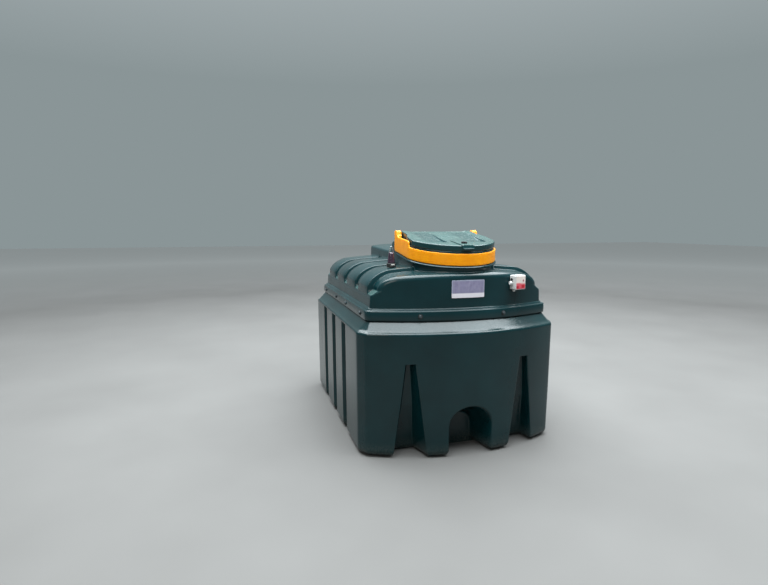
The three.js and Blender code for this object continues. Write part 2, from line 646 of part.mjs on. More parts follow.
const gaugeInnerEdge = Math.abs(GAUGE.x) - GAUGE.baseRadius;
const gaugeSeatZ = DOME_RIDGE_Z - DOME_CROWN * (gaugeInnerEdge / SHOULDER.x) ** 2;
const gaugeDomeZ = gaugeSeatZ + GAUGE.baseHeight + SEAT_GAP;
const onGauge = (z) => upright(GAUGE.x, GAUGE.y, z);
const baseRim = [[GAUGE.baseRadius, 0], [GAUGE.baseRadius, GAUGE.baseHeight - 3], [GAUGE.baseRadius - 3, GAUGE.baseHeight]];
addPiece('gauge_base', turned([[0, 0], ...baseRim, [0, GAUGE.baseHeight]], 20, onGauge(gaugeSeatZ)), FINISH.black);

function domeProfile(inset) {
  const { domeRadius, domeTopRadius, domeHeight } = GAUGE;
  const top = domeHeight - inset;
  return [
    [0, inset ? -5 : 0], [domeRadius - inset, inset ? -5 : 0], [domeTopRadius + 1 - inset, top - 10],
    [domeTopRadius - 3 - inset, top - 3], [(domeTopRadius - inset) / 2, top], [0, top],
  ];
}

const gaugeDome = turned(domeProfile(0), 20, onGauge(gaugeDomeZ)).subtract(turned(domeProfile(3), 20, onGauge(gaugeDomeZ)));
addPiece('gauge_dome', gaugeDome, FINISH.gauge);

const { radius: floatRadius, lowZ: floatLowZ, highZ: floatHighZ } = GAUGE_FLOAT;
const floatProfile = [[0, 0], [2, 0], [2, floatLowZ], [floatRadius, floatLowZ], [floatRadius, floatHighZ], [0, floatHighZ]];
addPiece('gauge_float', turned(floatProfile, 12, onGauge(gaugeDomeZ)), FINISH.float);

// The wire loop stands on the gauge's dome: two legs and a round top.
function gaugeLoop() {
  const { half, height, wire } = GAUGE_LOOP;
  const footZ = gaugeDomeZ + GAUGE.domeHeight - 2 + SEAT_GAP;
  const points = [[-half, 0], [-half * 0.72, height * 0.4], [-half * 0.4, height * 0.82], [0, height]];
  const whole = [...points, ...points.slice(0, -1).reverse().map(([x, z]) => [-x, z])];
  const path = new THREE.CatmullRomCurve3(whole.map(([x, z]) => new THREE.Vector3(GAUGE.x + x, GAUGE.y, footZ + z)));
  const section = new THREE.Shape().absarc(0, 0, wire, 0, 2 * Math.PI, false);
  return solid(new THREE.ExtrudeGeometry(section, { steps: 14, curveSegments: 3, bevelEnabled: false, extrudePath: path }));
}

addPiece('gauge_loop', gaugeLoop(), FINISH.steel);

// Sign plate, bent to the dome's face

const domeFaceY = (x) => DOME.bow * (x / DOME.halfWidth) ** 2 - DOME.halfLength;

function signPlate() {
  const xs = [-SIGN.half, 0, SIGN.half];
  const back = xs.map((x) => new THREE.Vector2(x, domeFaceY(x) - SEAT_GAP));
  const front = back.map(({ x, y }) => new THREE.Vector2(x, y - SIGN.thickness)).reverse();
  const shape = new THREE.Shape([...back, ...front]);
  const plate = new THREE.ExtrudeGeometry(shape, { depth: SIGN.highZ - SIGN.lowZ, bevelEnabled: false });
  return solid(plate.translate(0, 0, SIGN.lowZ));
}

addPiece('sign_plate', signPlate(), FINISH.sign);

// Overfill alarm, drawn square to its wall and then turned to follow the dome's bow

const alarmTurn = Math.atan((2 * DOME.bow * ALARM.x) / DOME.halfWidth ** 2);
const onAlarm = (shape) => shape.rotate([0, 0, (alarmTurn * 180) / Math.PI]).translate([ALARM.x, domeFaceY(ALARM.x), 0]);
const alarmCoverBack = ALARM.coverThickness - ALARM.depth;
const alarmMiddle = -(ALARM.depth - ALARM.coverThickness) / 2;

addPiece('alarm_housing', onAlarm(softBox(
  -ALARM.half, ALARM.half, alarmCoverBack + SEAT_GAP, -SEAT_GAP, ALARM.lowZ, ALARM.highZ, ALARM.radius,
)), FINISH.white);
addPiece('alarm_cover', onAlarm(softBox(
  -ALARM.half, ALARM.half, -ALARM.depth, alarmCoverBack, ALARM.lowZ, ALARM.highZ, ALARM.radius,
)), FINISH.white);

function sideFitting(name, radius, length, z, finish) {
  const profile = [[0, 0], [radius, 0], [radius, length - 2], [radius - 2, length], [0, length]];
  const place = (geometry) => geometry.rotateY(-Math.PI / 2).translate(-ALARM.half - SEAT_GAP, alarmMiddle, z);
  addPiece(name, onAlarm(turned(profile, 16, place)), finish);
}

sideFitting('alarm_test_knob', 8, 5, 976, FINISH.black);
sideFitting('alarm_side_gland', 9, 12, 955, FINISH.white);
const glandProfile = [[0, 0], [8, 0], [8, 6], [6, 12], [0, 12]];
const glandPlace = (geometry) => geometry.rotateX(Math.PI).translate(-22, alarmMiddle, ALARM.lowZ - SEAT_GAP);
addPiece('alarm_bottom_gland', onAlarm(turned(glandProfile, 16, glandPlace)), FINISH.white);

// Skirt bolts

function bolt(name, x, y, heading) {
  const { radius, headHeight, washerRadius, washerHeight } = BOLT;
  const profile = [
    [0, SEAT_GAP], [washerRadius, SEAT_GAP], [washerRadius, washerHeight], [radius, washerHeight],
    [radius * 0.8, headHeight], [radius * 0.4, headHeight + 2], [0, headHeight + 2],
  ];
  const place = (geometry) => geometry.rotateY(Math.PI / 2).rotateZ(heading).translate(x, y, BOLT_Z);
  addPiece(name, turned(profile, 10, place), FINISH.steel);
}

function skirtEnd(x) {
  const across = x / (SKIRT_PLAN.halfWidth - SKIRT_PLAN.facetX);
  const slope = (2 * SKIRT_PLAN.bow * across) / (SKIRT_PLAN.halfWidth - SKIRT_PLAN.facetX);
  return { y: SKIRT_PLAN.bow * across ** 2 - SKIRT_PLAN.halfLength, heading: Math.atan2(-1, slope) };
}

END_BOLT_X.forEach((x, i) => {
  const { y, heading } = skirtEnd(x);
  bolt(`front_bolt_${i + 1}`, x, y, heading);
  bolt(`rear_bolt_${i + 1}`, -x, -y, heading + Math.PI);
});
SIDE_BOLT_Y.forEach((y, i) => {
  bolt(`left_bolt_${i + 1}`, -SKIRT_PLAN.halfWidth, y, Math.PI);
  bolt(`right_bolt_${i + 1}`, SKIRT_PLAN.halfWidth, y, 0);
});

export default tank;
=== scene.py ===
import math

import bpy
import numpy as np
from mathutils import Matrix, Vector


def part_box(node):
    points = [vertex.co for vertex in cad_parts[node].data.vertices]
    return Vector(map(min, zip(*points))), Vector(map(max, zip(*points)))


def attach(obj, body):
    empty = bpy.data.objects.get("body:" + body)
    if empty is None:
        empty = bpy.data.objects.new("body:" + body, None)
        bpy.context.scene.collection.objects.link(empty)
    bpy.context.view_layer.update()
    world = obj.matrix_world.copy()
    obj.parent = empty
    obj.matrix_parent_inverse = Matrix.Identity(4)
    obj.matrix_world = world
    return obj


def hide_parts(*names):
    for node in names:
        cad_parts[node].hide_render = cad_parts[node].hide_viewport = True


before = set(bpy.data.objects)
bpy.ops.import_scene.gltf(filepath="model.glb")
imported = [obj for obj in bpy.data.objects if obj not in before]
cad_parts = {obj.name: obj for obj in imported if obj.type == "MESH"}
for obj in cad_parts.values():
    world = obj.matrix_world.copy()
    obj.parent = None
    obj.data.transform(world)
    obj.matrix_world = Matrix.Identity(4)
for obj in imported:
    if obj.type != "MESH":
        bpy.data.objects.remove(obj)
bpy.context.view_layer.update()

# Bund. The outer moulding that stands on the ground and catches a leak: one open piece of dark green
# polyethylene, rotationally moulded, so its edges are round and its skin has a faint orange peel. Each end
# has two flutes and an arch, and each side three slots. All sizes below are in millimetres.

BUND_PLAN = {"half_width": 610, "half_length": 870, "bow": 135, "facet": (36, 60)}
SKIRT_PLAN = {"half_width": 560, "half_length": 812, "bow": 120, "facet": (16, 26)}
BUND_END_HALF = BUND_PLAN["half_width"] - BUND_PLAN["facet"][0]
BUND_WALL, BUND_FOOT_RADIUS, BUND_DRAFT = 8, 42, 6
CORNER_ROUND = 11
FLUTE_X, FLUTE_TOP_Z, FLUTE_TOP_STEEPNESS = 345, 536, 14
# Half widths of a flute's mouth and floor: at its top, and what the foot adds. Its depth at foot, waist, top.
FLUTE_MOUTH, FLUTE_FLOOR, FLUTE_DEPTH, FLUTE_WAIST_Z = (27, 66), (12, 48), (132, 68, 44), 290
# The arch at the end's face, and how much smaller each size is at its full depth.
ARCH_HALF, ARCH_SPRING_Z, ARCH_RISE, ARCH_DEPTH = (132, 52), (178, 58), (106, 30), 190
SLOT_STATIONS, SLOT_HALF, SLOT_SIDE, SLOT_TOP_Z, SLOT_TOP, SLOT_DEPTH = (-320, 0, 320), 56, 24, 688, 48, 62


def soft_least(a, b, reach):
    """The smaller of two fields, less (reach - difference)^2 / (4 reach) where difference < reach."""
    near = np.clip(reach - np.abs(a - b), 0, None) / reach
    return np.minimum(a, b) - near**2 * reach / 4


def soft_most(a, b, reach):
    """The larger of two fields, rounded over in the same way."""
    return -soft_least(-a, -b, reach)


def between(counts):
    """Positions along a row of knots: counts[k] even steps from knot k to knot k + 1, the last left out."""
    return np.concatenate([k + np.arange(n) / n for k, n in enumerate(counts)])


def along(knots, t):
    """Straight interpolation of knots[..., k] at the positions t."""
    low = np.minimum(t.astype(int), knots.shape[-1] - 2)
    share = t - low
    return knots[..., low] * (1 - share) + knots[..., low + 1] * share


def quadratic(start, pull, end, t):
    """Points at t of the quadratic curve (1-t)^2 start + 2t(1-t) pull + t^2 end."""
    t = np.asarray(t, float)[:, None]
    return (1 - t) ** 2 * np.asarray(start) + 2 * t * (1 - t) * np.asarray(pull) + t**2 * np.asarray(end)


def corner_columns(plan, inset):
    """Ten columns round the front right corner: the two edges of its facet, each rounded by a quadratic
    curve. Returns points[row, column, 2] for each inset."""
    half_width = plan["half_width"] - inset
    half_length = plan["half_length"] - inset
    facet_x, facet_y = plan["facet"]
    first = np.stack([half_width - facet_x, plan["bow"] - half_length], -1)
    second = np.stack([half_width, plan["bow"] - half_length + facet_y], -1)
    steep = 2 * plan["bow"] / (plan["half_width"] - facet_x)
    into = np.array([1, steep]) / math.hypot(1, steep) * CORNER_ROUND
    facet = np.array([facet_x, facet_y]) / math.hypot(facet_x, facet_y) * CORNER_ROUND
    t = np.linspace(0, 1, 5)
    at_first = quadratic(-into, (0, 0), facet, t)
    at_second = quadratic(-facet, (0, 0), (0, CORNER_ROUND), t)
    return np.concatenate([first[:, None] + at_first, second[:, None] + at_second], axis=1)


def whole_outline(end_x, end_y, corner, side_x, side_y):
    """All columns of a plan, counterclockwise from the front left: the front end, the front right corner
    and the right side, then the same three turned by half a turn. Each input is [row, column]."""
    half = np.concatenate([
        np.stack([end_x, end_y], -1), corner, np.stack([side_x, side_y], -1), (corner * [1, -1])[:, ::-1],
    ], axis=1)
    return np.concatenate([half, -half], axis=1)


def closed_faces(grid_shape, ring=False):
    """Quads between neighbouring rows and columns of a grid whose columns run round. Its rows run round too
    where ring is true, and otherwise a fan closes the first and the last row."""
    rows, columns = grid_shape
    number = np.arange(rows * columns).reshape(rows, columns)
    beside = np.roll(number, -1, axis=1)
    if ring:
        after, after_beside = np.roll(number, -1, axis=0), np.roll(beside, -1, axis=0)
        return np.stack([number, beside, after_beside, after], -1).reshape(-1, 4).tolist()
    quads = np.stack([number[:-1], beside[:-1], beside[1:], number[1:]], -1).reshape(-1, 4).tolist()
    first, last = rows * columns, rows * columns + 1
    start = np.stack([beside[0], number[0], np.full(columns, first)], -1).tolist()
    end = np.stack([number[-1], beside[-1], np.full(columns, last)], -1).tolist()
    return quads + start + end


def piece(name, points, faces, material, sharp=40):
    """A mesh object of points in millimetres, wound outwards by the sign of its volume, smooth but for
    edges that turn by more than sharp degrees."""
    points = np.asarray(points, float)
    corners = np.array([face[:3] for face in faces] + [[f[0], f[2], f[3]] for f in faces if len(f) == 4])
    a, b, c = points[corners[:, 0]], points[corners[:, 1]], points[corners[:, 2]]
    if np.einsum("ij,ij->i", a, np.cross(b, c)).sum() < 0:
        faces = [face[::-1] for face in faces]
    mesh = bpy.data.meshes.new(name)
    mesh.from_pydata((points / 1000).tolist(), [], faces)
    mesh.validate()
    mesh.polygons.foreach_set("use_smooth", [True] * len(mesh.polygons))
    mesh.set_sharp_from_angle(angle=math.radians(sharp))
    mesh.materials.append(material)
    made = bpy.data.objects.new(name, mesh)
    bpy.context.scene.collection.objects.link(made)
    return made


def skin(name, grid, material, ring=False, sharp=40):
    """One closed body over grid[row, column]: its columns run round, and its rows too or its ends are
    closed."""
    points = grid.reshape(-1, 3)
    if not ring:
        points = np.vstack([points, grid[0].mean(0), grid[-1].mean(0)])
    return piece(name, points, closed_faces(grid.shape[:2], ring), material, sharp)


def linear(colour):
    """An sRGB hex colour as linear red, green, blue and alpha."""
    parts = np.array([int(colour[i:i + 2], 16) for i in (1, 3, 5)]) / 255
    curved = np.where(parts <= 0.04045, parts / 12.92, ((parts + 0.055) / 1.055) ** 2.4)
    return (*curved.tolist(), 1.0)


def put(socket, value):
    """Links an input socket from another node's socket, or else sets it to a value."""
    if isinstance(value, bpy.types.NodeSocket):
        socket.id_data.links.new(value, socket)
    else:
        socket.default_value = value


def fill(node, **inputs):
    """Puts a value into each named input of a node. An underscore in a name stands for a space."""
    for name, value in inputs.items():
        put(node.inputs[name.replace("_", " ")], value)


def add_node(tree, kind, *values, output=None, stops=(), **named):
    """A node, as its named or first live output. Values fill its live inputs in order. A small name is a
    setting, a name with a capital an input, and stops are the positions and hex colours of a ramp."""
    node = tree.nodes.new("ShaderNode" + kind)
    for name in filter(str.islower, named):
        setattr(node, name, named[name])
    for position, _ in stops[1:-1]:
        node.color_ramp.elements.new(position)
    for place, (position, colour) in enumerate(stops):
        element = node.color_ramp.elements[place]
        element.position, element.color = position, linear(colour)
    for socket, value in zip([socket for socket in node.inputs if socket.enabled], values):
        put(socket, value)
    fill(node, **{name: value for name, value in named.items() if not name.islower()})
    return node.outputs[output] if output else [socket for socket in node.outputs if socket.enabled][0]


def new_material(name):
    """A node material: returns the material, its tree and its principled shader."""
    material = bpy.data.materials.new(name)
    material.use_nodes = True
    return material, material.node_tree, material.node_tree.nodes["Principled BSDF"]


def patches(tree, size_mm, detail=2.0, roughness=0.5, taller=1):
    """A pattern of soft patches, each about size_mm across on the object and taller times as high."""
    scale = 1000 / size_mm
    place = add_node(tree, "TexCoord", output="Object")
    mapped = add_node(tree, "Mapping", place, Scale=(scale, scale, scale / taller))
    return add_node(tree, "TexNoise", mapped, 1.0, detail, roughness)


# Rotationally moulded polyethylene, dark green and glossy. The mould gives the skin slow waves, about 140
# mm long, that bend what it mirrors, and an orange peel of about 3 mm. Dust lies thinly on what faces up
# and near the ground, duller than the plastic. A pale film on up-facing faces of the lid is a painted
# reflection of the sky, and a pale band on a narrow ledge of the roof is a painted highlight.
def moulded_polyethylene(
    name, dark, light, dust_height, dust_share, film="#5f7a76", painted_sky_share=0.0, sunk_field=None, ledge=None,
):
    material, tree, shader = new_material(name)
    up = add_node(tree, "SeparateXYZ", add_node(tree, "NewGeometry", output="Normal"), output="Z")
    height = add_node(tree, "SeparateXYZ", add_node(tree, "TexCoord", output="Object"), output="Z")
    low_dust = add_node(tree, "MapRange", height, 0.0, dust_height / 1000, 1.0, 0.0)
    flat_dust = add_node(tree, "MapRange", up, 0.55, 1.0, 0.0, 0.5)
    settled = add_node(tree, "Math", low_dust, flat_dust, operation="MAXIMUM")
    grains = add_node(tree, "MapRange", patches(tree, 7, 5, 0.7), 0.42, 0.72, 0.0, 1.0)
    dust = add_node(tree, "Math", settled, grains, operation="MULTIPLY")
    dust = add_node(tree, "Math", dust, dust_share, operation="MULTIPLY")
    # On the ledge between the two heights, up-facing faces get a pale band: a painted highlight.
    if ledge:
        edge = 0.004
        over = add_node(tree, "MapRange", height, ledge[0] / 1000 - edge, ledge[0] / 1000 + edge, 0.0, 0.17)
        under = add_node(tree, "MapRange", height, ledge[1] / 1000 - edge, ledge[1] / 1000 + edge, 1.0, 0.0)
        band = add_node(tree, "Math", over, under, operation="MULTIPLY")
        level = add_node(tree, "MapRange", up, 0.45, 0.7, 0.0, 1.0)
        painted_sky_mask = add_node(tree, "Math", band, level, operation="MULTIPLY")
    else:
        # Elsewhere, up-facing faces get a pale film in patches: a painted reflection of the sky.
        patchy = add_node(tree, "MapRange", patches(tree, 70, 4, 0.6), 0.3, 0.7, 0.65, 1.0)
        facing_up = add_node(tree, "MapRange", up, 0.75, 0.97, 0.0, painted_sky_share)
        painted_sky_mask = add_node(tree, "Math", patchy, facing_up, operation="MULTIPLY")
    # In the sunk pans the painted sky reflection is weakened, which paints them darker: painted shade.
    if sunk_field:
        sunk = add_node(tree, "Attribute", attribute_name=sunk_field, output="Fac")
        kept = add_node(tree, "MapRange", sunk, 0.0, 1.0, 1.0, 0.35)
        painted_sky_mask = add_node(tree, "Math", painted_sky_mask, kept, operation="MULTIPLY")
    colour = add_node(tree, "ValToRGB", patches(tree, 260, 3), stops=((0.3, dark), (0.7, light)))
    # The colour film is mixed in where the painted reflection or the painted highlight lies.
    colour = add_node(tree, "Mix", painted_sky_mask, colour, linear(film), data_type="RGBA")
    gloss = add_node(tree, "MapRange", patches(tree, 30, 4, taller=9), 0.3, 0.75, 0.15, 0.24)
    waves = add_node(tree, "Bump", Strength=0.5, Distance=0.0011, Height=patches(tree, 140, 1))
    fill(
        shader,
        Base_Color=add_node(tree, "Mix", dust, colour, linear("#8c8578"), data_type="RGBA"),
        Roughness=add_node(tree, "Math", dust, 0.5, gloss, operation="MULTIPLY_ADD"),
        Specular_IOR_Level=0.36,
        Normal=add_node(tree, "Bump", Strength=0.1, Distance=0.0003, Height=patches(tree, 3.2), Normal=waves),
    )
    return material


bund_green = moulded_polyethylene("rotomoulded_green_polyethylene", "#042023", "#07292c", 90, 0.3)


def foot_curl(z):
    """How far the foot's rounding pulls a wall in at height z: r - sqrt(r^2 - (r - z)^2) below z = r."""
    below = np.clip(BUND_FOOT_RADIUS - z, 0, BUND_FOOT_RADIUS)
    return BUND_FOOT_RADIUS - np.sqrt(BUND_FOOT_RADIUS**2 - below**2)


def flute_halves(z, grow):
    """Half widths of a flute's mouth and floor at height z: both widen evenly from its top to the foot."""
    down = (FLUTE_TOP_Z - np.minimum(z, FLUTE_TOP_Z)) / FLUTE_TOP_Z
    curl = foot_curl(z)
    mouth = FLUTE_MOUTH[0] + FLUTE_MOUTH[1] * down + curl + grow
    return mouth, FLUTE_FLOOR[0] + FLUTE_FLOOR[1] * down + curl * 0.5 + grow


def flute_depth(x, z, grow):
    """Depth of the nearest flute behind the end face: the least of its floor, slanting sides and top."""
    mouth, floor = flute_halves(z, grow)
    deepest = np.interp(z, [0, FLUTE_WAIST_Z, FLUTE_TOP_Z], FLUTE_DEPTH) + foot_curl(z) * 0.5 + grow
    off = np.abs(np.abs(x) - FLUTE_X)
    sides = deepest * (mouth - off) / (mouth - floor)
    top = FLUTE_TOP_STEEPNESS * (FLUTE_TOP_Z + grow - z)
    return soft_least(soft_least(deepest, sides, 14), top, 16)


def arch_depth(x, z, grow):
    """Depth of the arch behind the end face. Its outline is an upright half ellipse on two posts that
    shrinks with depth. The share of the depth at which the outline passes through (x, z) is found by
    halving, -0.4 to 1.4."""
    low = np.full(np.broadcast(x, z).shape, -0.4)
    high = np.full_like(low, 1.4)
    curl = foot_curl(z)
    for _ in range(13):
        share = (low + high) / 2
        half, spring, rise = [size - less * share for size, less in (ARCH_HALF, ARCH_SPRING_Z, ARCH_RISE)]
        over = np.clip((z - spring) / (rise + grow), 0, 1)
        inside = np.abs(x) < (half + grow + curl) * np.sqrt(1 - over**2)
        low = np.where(inside, share, low)
        high = np.where(inside, high, share)
    return soft_least(ARCH_DEPTH * low, np.full_like(low, ARCH_DEPTH + grow), 24)


def slot_depth(y, z, grow):
    """Depth of the nearest side slot: the least of its floor, its slanting sides and its sloping top."""
    off = np.min([np.abs(y - station) for station in SLOT_STATIONS], axis=0)
    sides = SLOT_DEPTH * (SLOT_HALF + grow + foot_curl(z) - off) / SLOT_SIDE
    top = SLOT_DEPTH * (SLOT_TOP_Z + grow - z) / SLOT_TOP
    deepest = np.full_like(off, SLOT_DEPTH + grow)
    return soft_least(soft_least(deepest, sides, 12), top, 12)


def plan_between(share):
    """The plan outline between the bund's at share 0 and the skirt's at share 1."""
    mixed = {}
    for key, size in BUND_PLAN.items():
        size = np.array(size)
        mixed[key] = size + (np.array(SKIRT_PLAN[key]) - size) * share
    return mixed


def bund_rows(z, inset, plan, grow):
    """Rows of the bund's surface at heights z on one plan, pulled in by inset, with the hollows pressed in.
    The columns gather where a hollow bends, at knots beside the mouth and the floor of each flute and
    slot."""
    end_half = plan["half_width"] - plan["facet"][0]
    mouth, floor = flute_halves(z, grow)
    offsets = (mouth + 12, mouth - 4, floor + 4, floor - 8)
    right = [mouth * 0 + 150] + [FLUTE_X - offset for offset in offsets]
    right += [FLUTE_X + offset for offset in offsets[::-1]] + [end_half - inset - CORNER_ROUND * 0.9]
    right = np.stack(right, -1)
    half_counts = [4, 5, 4, 4, 4, 4, 4, 5, 6]
    end_knots = np.concatenate([-right[:, ::-1], right], axis=1)
    end_x = along(end_knots, between(half_counts[::-1] + [66] + half_counts)[1:])
    level, inset = z[:, None], inset[:, None]
    face = plan["bow"] * (end_x / (end_half - inset)) ** 2 - (plan["half_length"] - inset)
    flute_face = BUND_PLAN["bow"] * (FLUTE_X / BUND_END_HALF) ** 2 - BUND_PLAN["half_length"]
    fluted = soft_most(face, flute_face + flute_depth(end_x, level, grow), 12)
    end_y = soft_most(fluted, arch_depth(end_x, level, grow) - BUND_PLAN["half_length"], 16)
    corner = corner_columns(plan, inset[:, 0])
    side_end = corner[:, -1:, 1]
    slot_knots = np.array(SLOT_STATIONS)[:, None] + [-66, -52, -37, -24, 24, 37, 52, 66]
    side_knots = np.concatenate([side_end, np.tile(slot_knots.ravel(), (len(z), 1)), -side_end], axis=1)
    slot_counts = [5, 4, 5, 5, 5, 4, 5]
    side_y = along(side_knots, between([5, *slot_counts, 3, *slot_counts, 3, *slot_counts, 5])[1:])
    side_face = plan["half_width"] - inset + side_y * 0
    side_x = soft_least(side_face, BUND_PLAN["half_width"] - slot_depth(side_y, level, grow), 10)
    outline = whole_outline(end_x, end_y, corner, side_x, side_y)
    return np.dstack([outline, np.broadcast_to(level, outline.shape[:2])])


def bund_wall(z, grow):
    """The upright wall of the bund: drafted over its height and curled in at the foot."""
    draft = np.interp(z, [BUND_FOOT_RADIUS, FLUTE_WAIST_Z, 692], [BUND_DRAFT, BUND_DRAFT / 2, 0])
    return bund_rows(z, draft + foot_curl(z) + grow, BUND_PLAN, grow)


def bund_top(levels, grow):
    """The rim, shoulder and lip, one row for each (height, inset, share of the way to the skirt's plan)."""
    return np.concatenate([
        bund_rows(np.array([float(z)]), np.array([float(inset + grow)]), plan_between(share), grow)
        for z, inset, share in levels
    ])


def sole(edge, z):
    """A loop well inside a row of the bund, level at z, that its flat sole or floor runs in to: the end's
    bow moved in by a depth that follows the flutes and the arch, and straight sides inside the slots."""
    x, y = edge[0, :, 0], edge[0, :, 1]
    deep = np.interp(np.abs(x), [0, 200, 260, 470, 600], [215, 215, 165, 165, 60])
    bow = BUND_PLAN["bow"] * 0.9 * (x / BUND_END_HALF) ** 2
    end_y = np.sign(y) * (BUND_PLAN["half_length"] - bow - deep)
    side_x = np.sign(x) * np.interp(np.abs(y), [0, 560, 680], [520, 520, 540])
    at_end = np.abs(y) > 600
    inner_x, inner_y = np.where(at_end, x * 0.96, side_x), np.where(at_end, end_y, y)
    return np.stack([inner_x, inner_y, np.full_like(x, z)], -1)[None]


foot_turn = np.linspace(0, math.pi / 2, 9)
outer_wall = bund_wall(np.concatenate([
    BUND_FOOT_RADIUS * (1 - np.cos(foot_turn)), np.linspace(47, 300, 56), np.linspace(325, 515, 8),
    [526, 530, 533, 535, 536.5, 538, 541, 546], np.linspace(570, 625, 4), np.linspace(634, 692, 14),
]), 0)
outer_top = bund_top([
    (696, 0.6, 0), (700, 2.2, 0), (703.5, 5, 0), (706, 9, 0), (707.8, 12, 0.02), (720, 10, 0.3),
    (738, 7, 0.68), (751, 5, 0.96), (754, 5, 1), (757, 7, 1), (759, 11, 1), (780, 11, 1), (793, 11, 1),
    (796, 13, 1),
], 0)
inner_top = bund_top([
    (796, 9, 1), (793, 11, 1), (758, 11, 1), (748, 8, 1), (704, 12, 0), (698, 6, 0),
], BUND_WALL)
inner_wall = bund_wall(np.array([
    690, 680, 660, 640, 600, 552, 545, 542, 538, 530, 470, 380, 295, 288, 275, 255, 225, 190, 150, 100,
    60, 30, 14, 9.5,
]), BUND_WALL)
bund_grid = np.concatenate([
    sole(outer_wall[:1], 0), outer_wall, outer_top, inner_top, inner_wall, sole(inner_wall[-1:], BUND_WALL),
])
bund = skin("bund_moulding", bund_grid, bund_green, sharp=50)
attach(bund, "tank")
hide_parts("bund_shell")

# Inner tank below its skirt. The same polyethylene moulding as the roof above it. It stands out of sight in
# the bund, and only its inside shows, through the open neck, where oil has left a dark film.

film_green, tree, shader = new_material("oily_polyethylene_inside")
oil_cloud = patches(tree, 120, 4)
fill(
    shader,
    Base_Color=add_node(tree, "ValToRGB", oil_cloud, stops=((0.35, "#0b0f0f"), (0.65, "#151f20"))),
    Roughness=add_node(tree, "MapRange", oil_cloud, 0.3, 0.7, 0.12, 0.4),
)
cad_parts["inner_tank_body"].data.materials.clear()
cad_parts["inner_tank_body"].data.materials.append(film_green)

# Skirt of the inner tank. It hangs over the bund's lip like a lid and ends upwards in a double step, two
# narrow ledges that catch the light as two bright lines. One moulding with the dome above.

LEDGE_LOW_Z, LEDGE_HIGH_Z = 898, 926
# The roof's film colour #7fa29b is painted only as a pale band on the up-facing ledge: a painted highlight.
roof_green = moulded_polyethylene(
    "rotomoulded_green_polyethylene_of_the_roof", "#052225", "#082c30", 10, 0.3, "#7fa29b",
    ledge=(LEDGE_LOW_Z, LEDGE_HIGH_Z),
)


def skirt_row(z, inset):
    """One row of the skirt at height z: bowed ends, faceted corners and straight sides, less inset."""
    half = SKIRT_PLAN["half_width"] - SKIRT_PLAN["facet"][0] - inset
    end_x = np.linspace(-1, 1, 50)[None, 1:-1] * (half - CORNER_ROUND * 0.9)
    end_y = SKIRT_PLAN["bow"] * (end_x / half) ** 2 - (SKIRT_PLAN["half_length"] - inset)
    corner = corner_columns(SKIRT_PLAN, np.array([float(inset)]))
    side_y = np.linspace(corner[:, -1, 1], -corner[:, -1, 1], 20)[1:-1].T
    side_x = SKIRT_PLAN["half_width"] - inset + side_y * 0
    outline = whole_outline(end_x, end_y, corner, side_x, side_y)
    return np.dstack([outline, np.full(outline.shape[:2], float(z))])


skirt_profile = [
    (763, 4), (763.2, 2), (764.5, 0.6), (766.5, 0), (790, -0.6), (812, 0), (814.5, 0.6), (816.3, 2),
    (817, 4.5), (817.4, 9), (817.8, 11.5), (819.2, 13), (824, 14), (826, 14.8), (827.2, 16.5),
    (827.8, 20), (829, 22), (831.5, 23), (833, 25), (833, 60), (806, 60), (806, 10), (804, 8), (780, 8),
    (765, 8), (763, 6.5),
]
skirt_grid = np.concatenate([skirt_row(z, inset) for z, inset in skirt_profile])
skirt = skin("inner_tank_skirt", skirt_grid, roof_green, ring=True)
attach(skirt, "tank")
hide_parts("inner_tank_roof")

# Dome of the inner tank. Its arched roof is pressed into four hoops between three grooves, with a lower
# band at each end. Every groove runs out at the shoulder's foot in a small sloping ledge. Moulded with the
# skirt.

DOME_HALF_WIDTH, DOME_HALF_LENGTH, DOME_BOW, DOME_WALL = 532, 790, 123, 8
DOME_FOOT_Z, DOME_RIDGE_Z, DOME_CROWN = 821, 1056, 20
SHOULDER_X, SHOULDER_Z, SHOULDER_WALL, SHOULDER_POWER = 385, 937, 527, 1.6
GROOVE_STATIONS = (-320, 0, 320)
GROOVE_HALF, GROOVE_RAMP, GROOVE_ROOF, GROOVE_SIDE, GROOVE_ROUNDING = 33, 8, 30, 40, 0.3
BAND_EDGE_Y, BAND_ROOF, BAND_SIDE, BAND_EDGE_RADIUS = 600, 24, 38, 30
BAND_FALL, BAND_FALL_LENGTH = 10, 150
HOOP_MIDDLE, HOOP_HALF, HOOP_CROWN = 160, 117, 3


def eased(share, round_share=0.25):
    """share held between 0 and 1, with both bends rounded over round_share of the way."""
    return soft_most(soft_least(share, np.ones_like(share), round_share), np.zeros_like(share), round_share)


def roof_and_side_drop(y, grow):
    """How far the dome's roof, its side wall and its foot lie inside the hoops at station y: grooves, end
    bands, and the quarter circle that rounds the dome's end."""
    off = np.min([np.abs(y - station) for station in GROOVE_STATIONS], axis=0)
    out = np.abs(y) - BAND_EDGE_Y
    groove = eased((GROOVE_HALF + GROOVE_RAMP + grow - off) / GROOVE_RAMP, GROOVE_ROUNDING)
    band = eased((out + GROOVE_RAMP + grow) / GROOVE_RAMP, GROOVE_ROUNDING)
    fall = BAND_FALL * np.clip(out / BAND_FALL_LENGTH, 0, 1)
    reach = np.clip(np.abs(y) - (DOME_HALF_LENGTH - grow - BAND_EDGE_RADIUS), 0, BAND_EDGE_RADIUS)
    curl = BAND_EDGE_RADIUS - np.sqrt(BAND_EDGE_RADIUS**2 - reach**2)
    crown = HOOP_CROWN * ((off - HOOP_MIDDLE) / HOOP_HALF) ** 2 * (1 - groove) * (out < 0)
    roof = np.maximum(GROOVE_ROOF * groove, (BAND_ROOF + fall) * band) + crown + curl
    side = np.maximum(GROOVE_SIDE * groove, BAND_SIDE * band) + crown * 0.5 + curl
    return roof, side, curl * 0.4


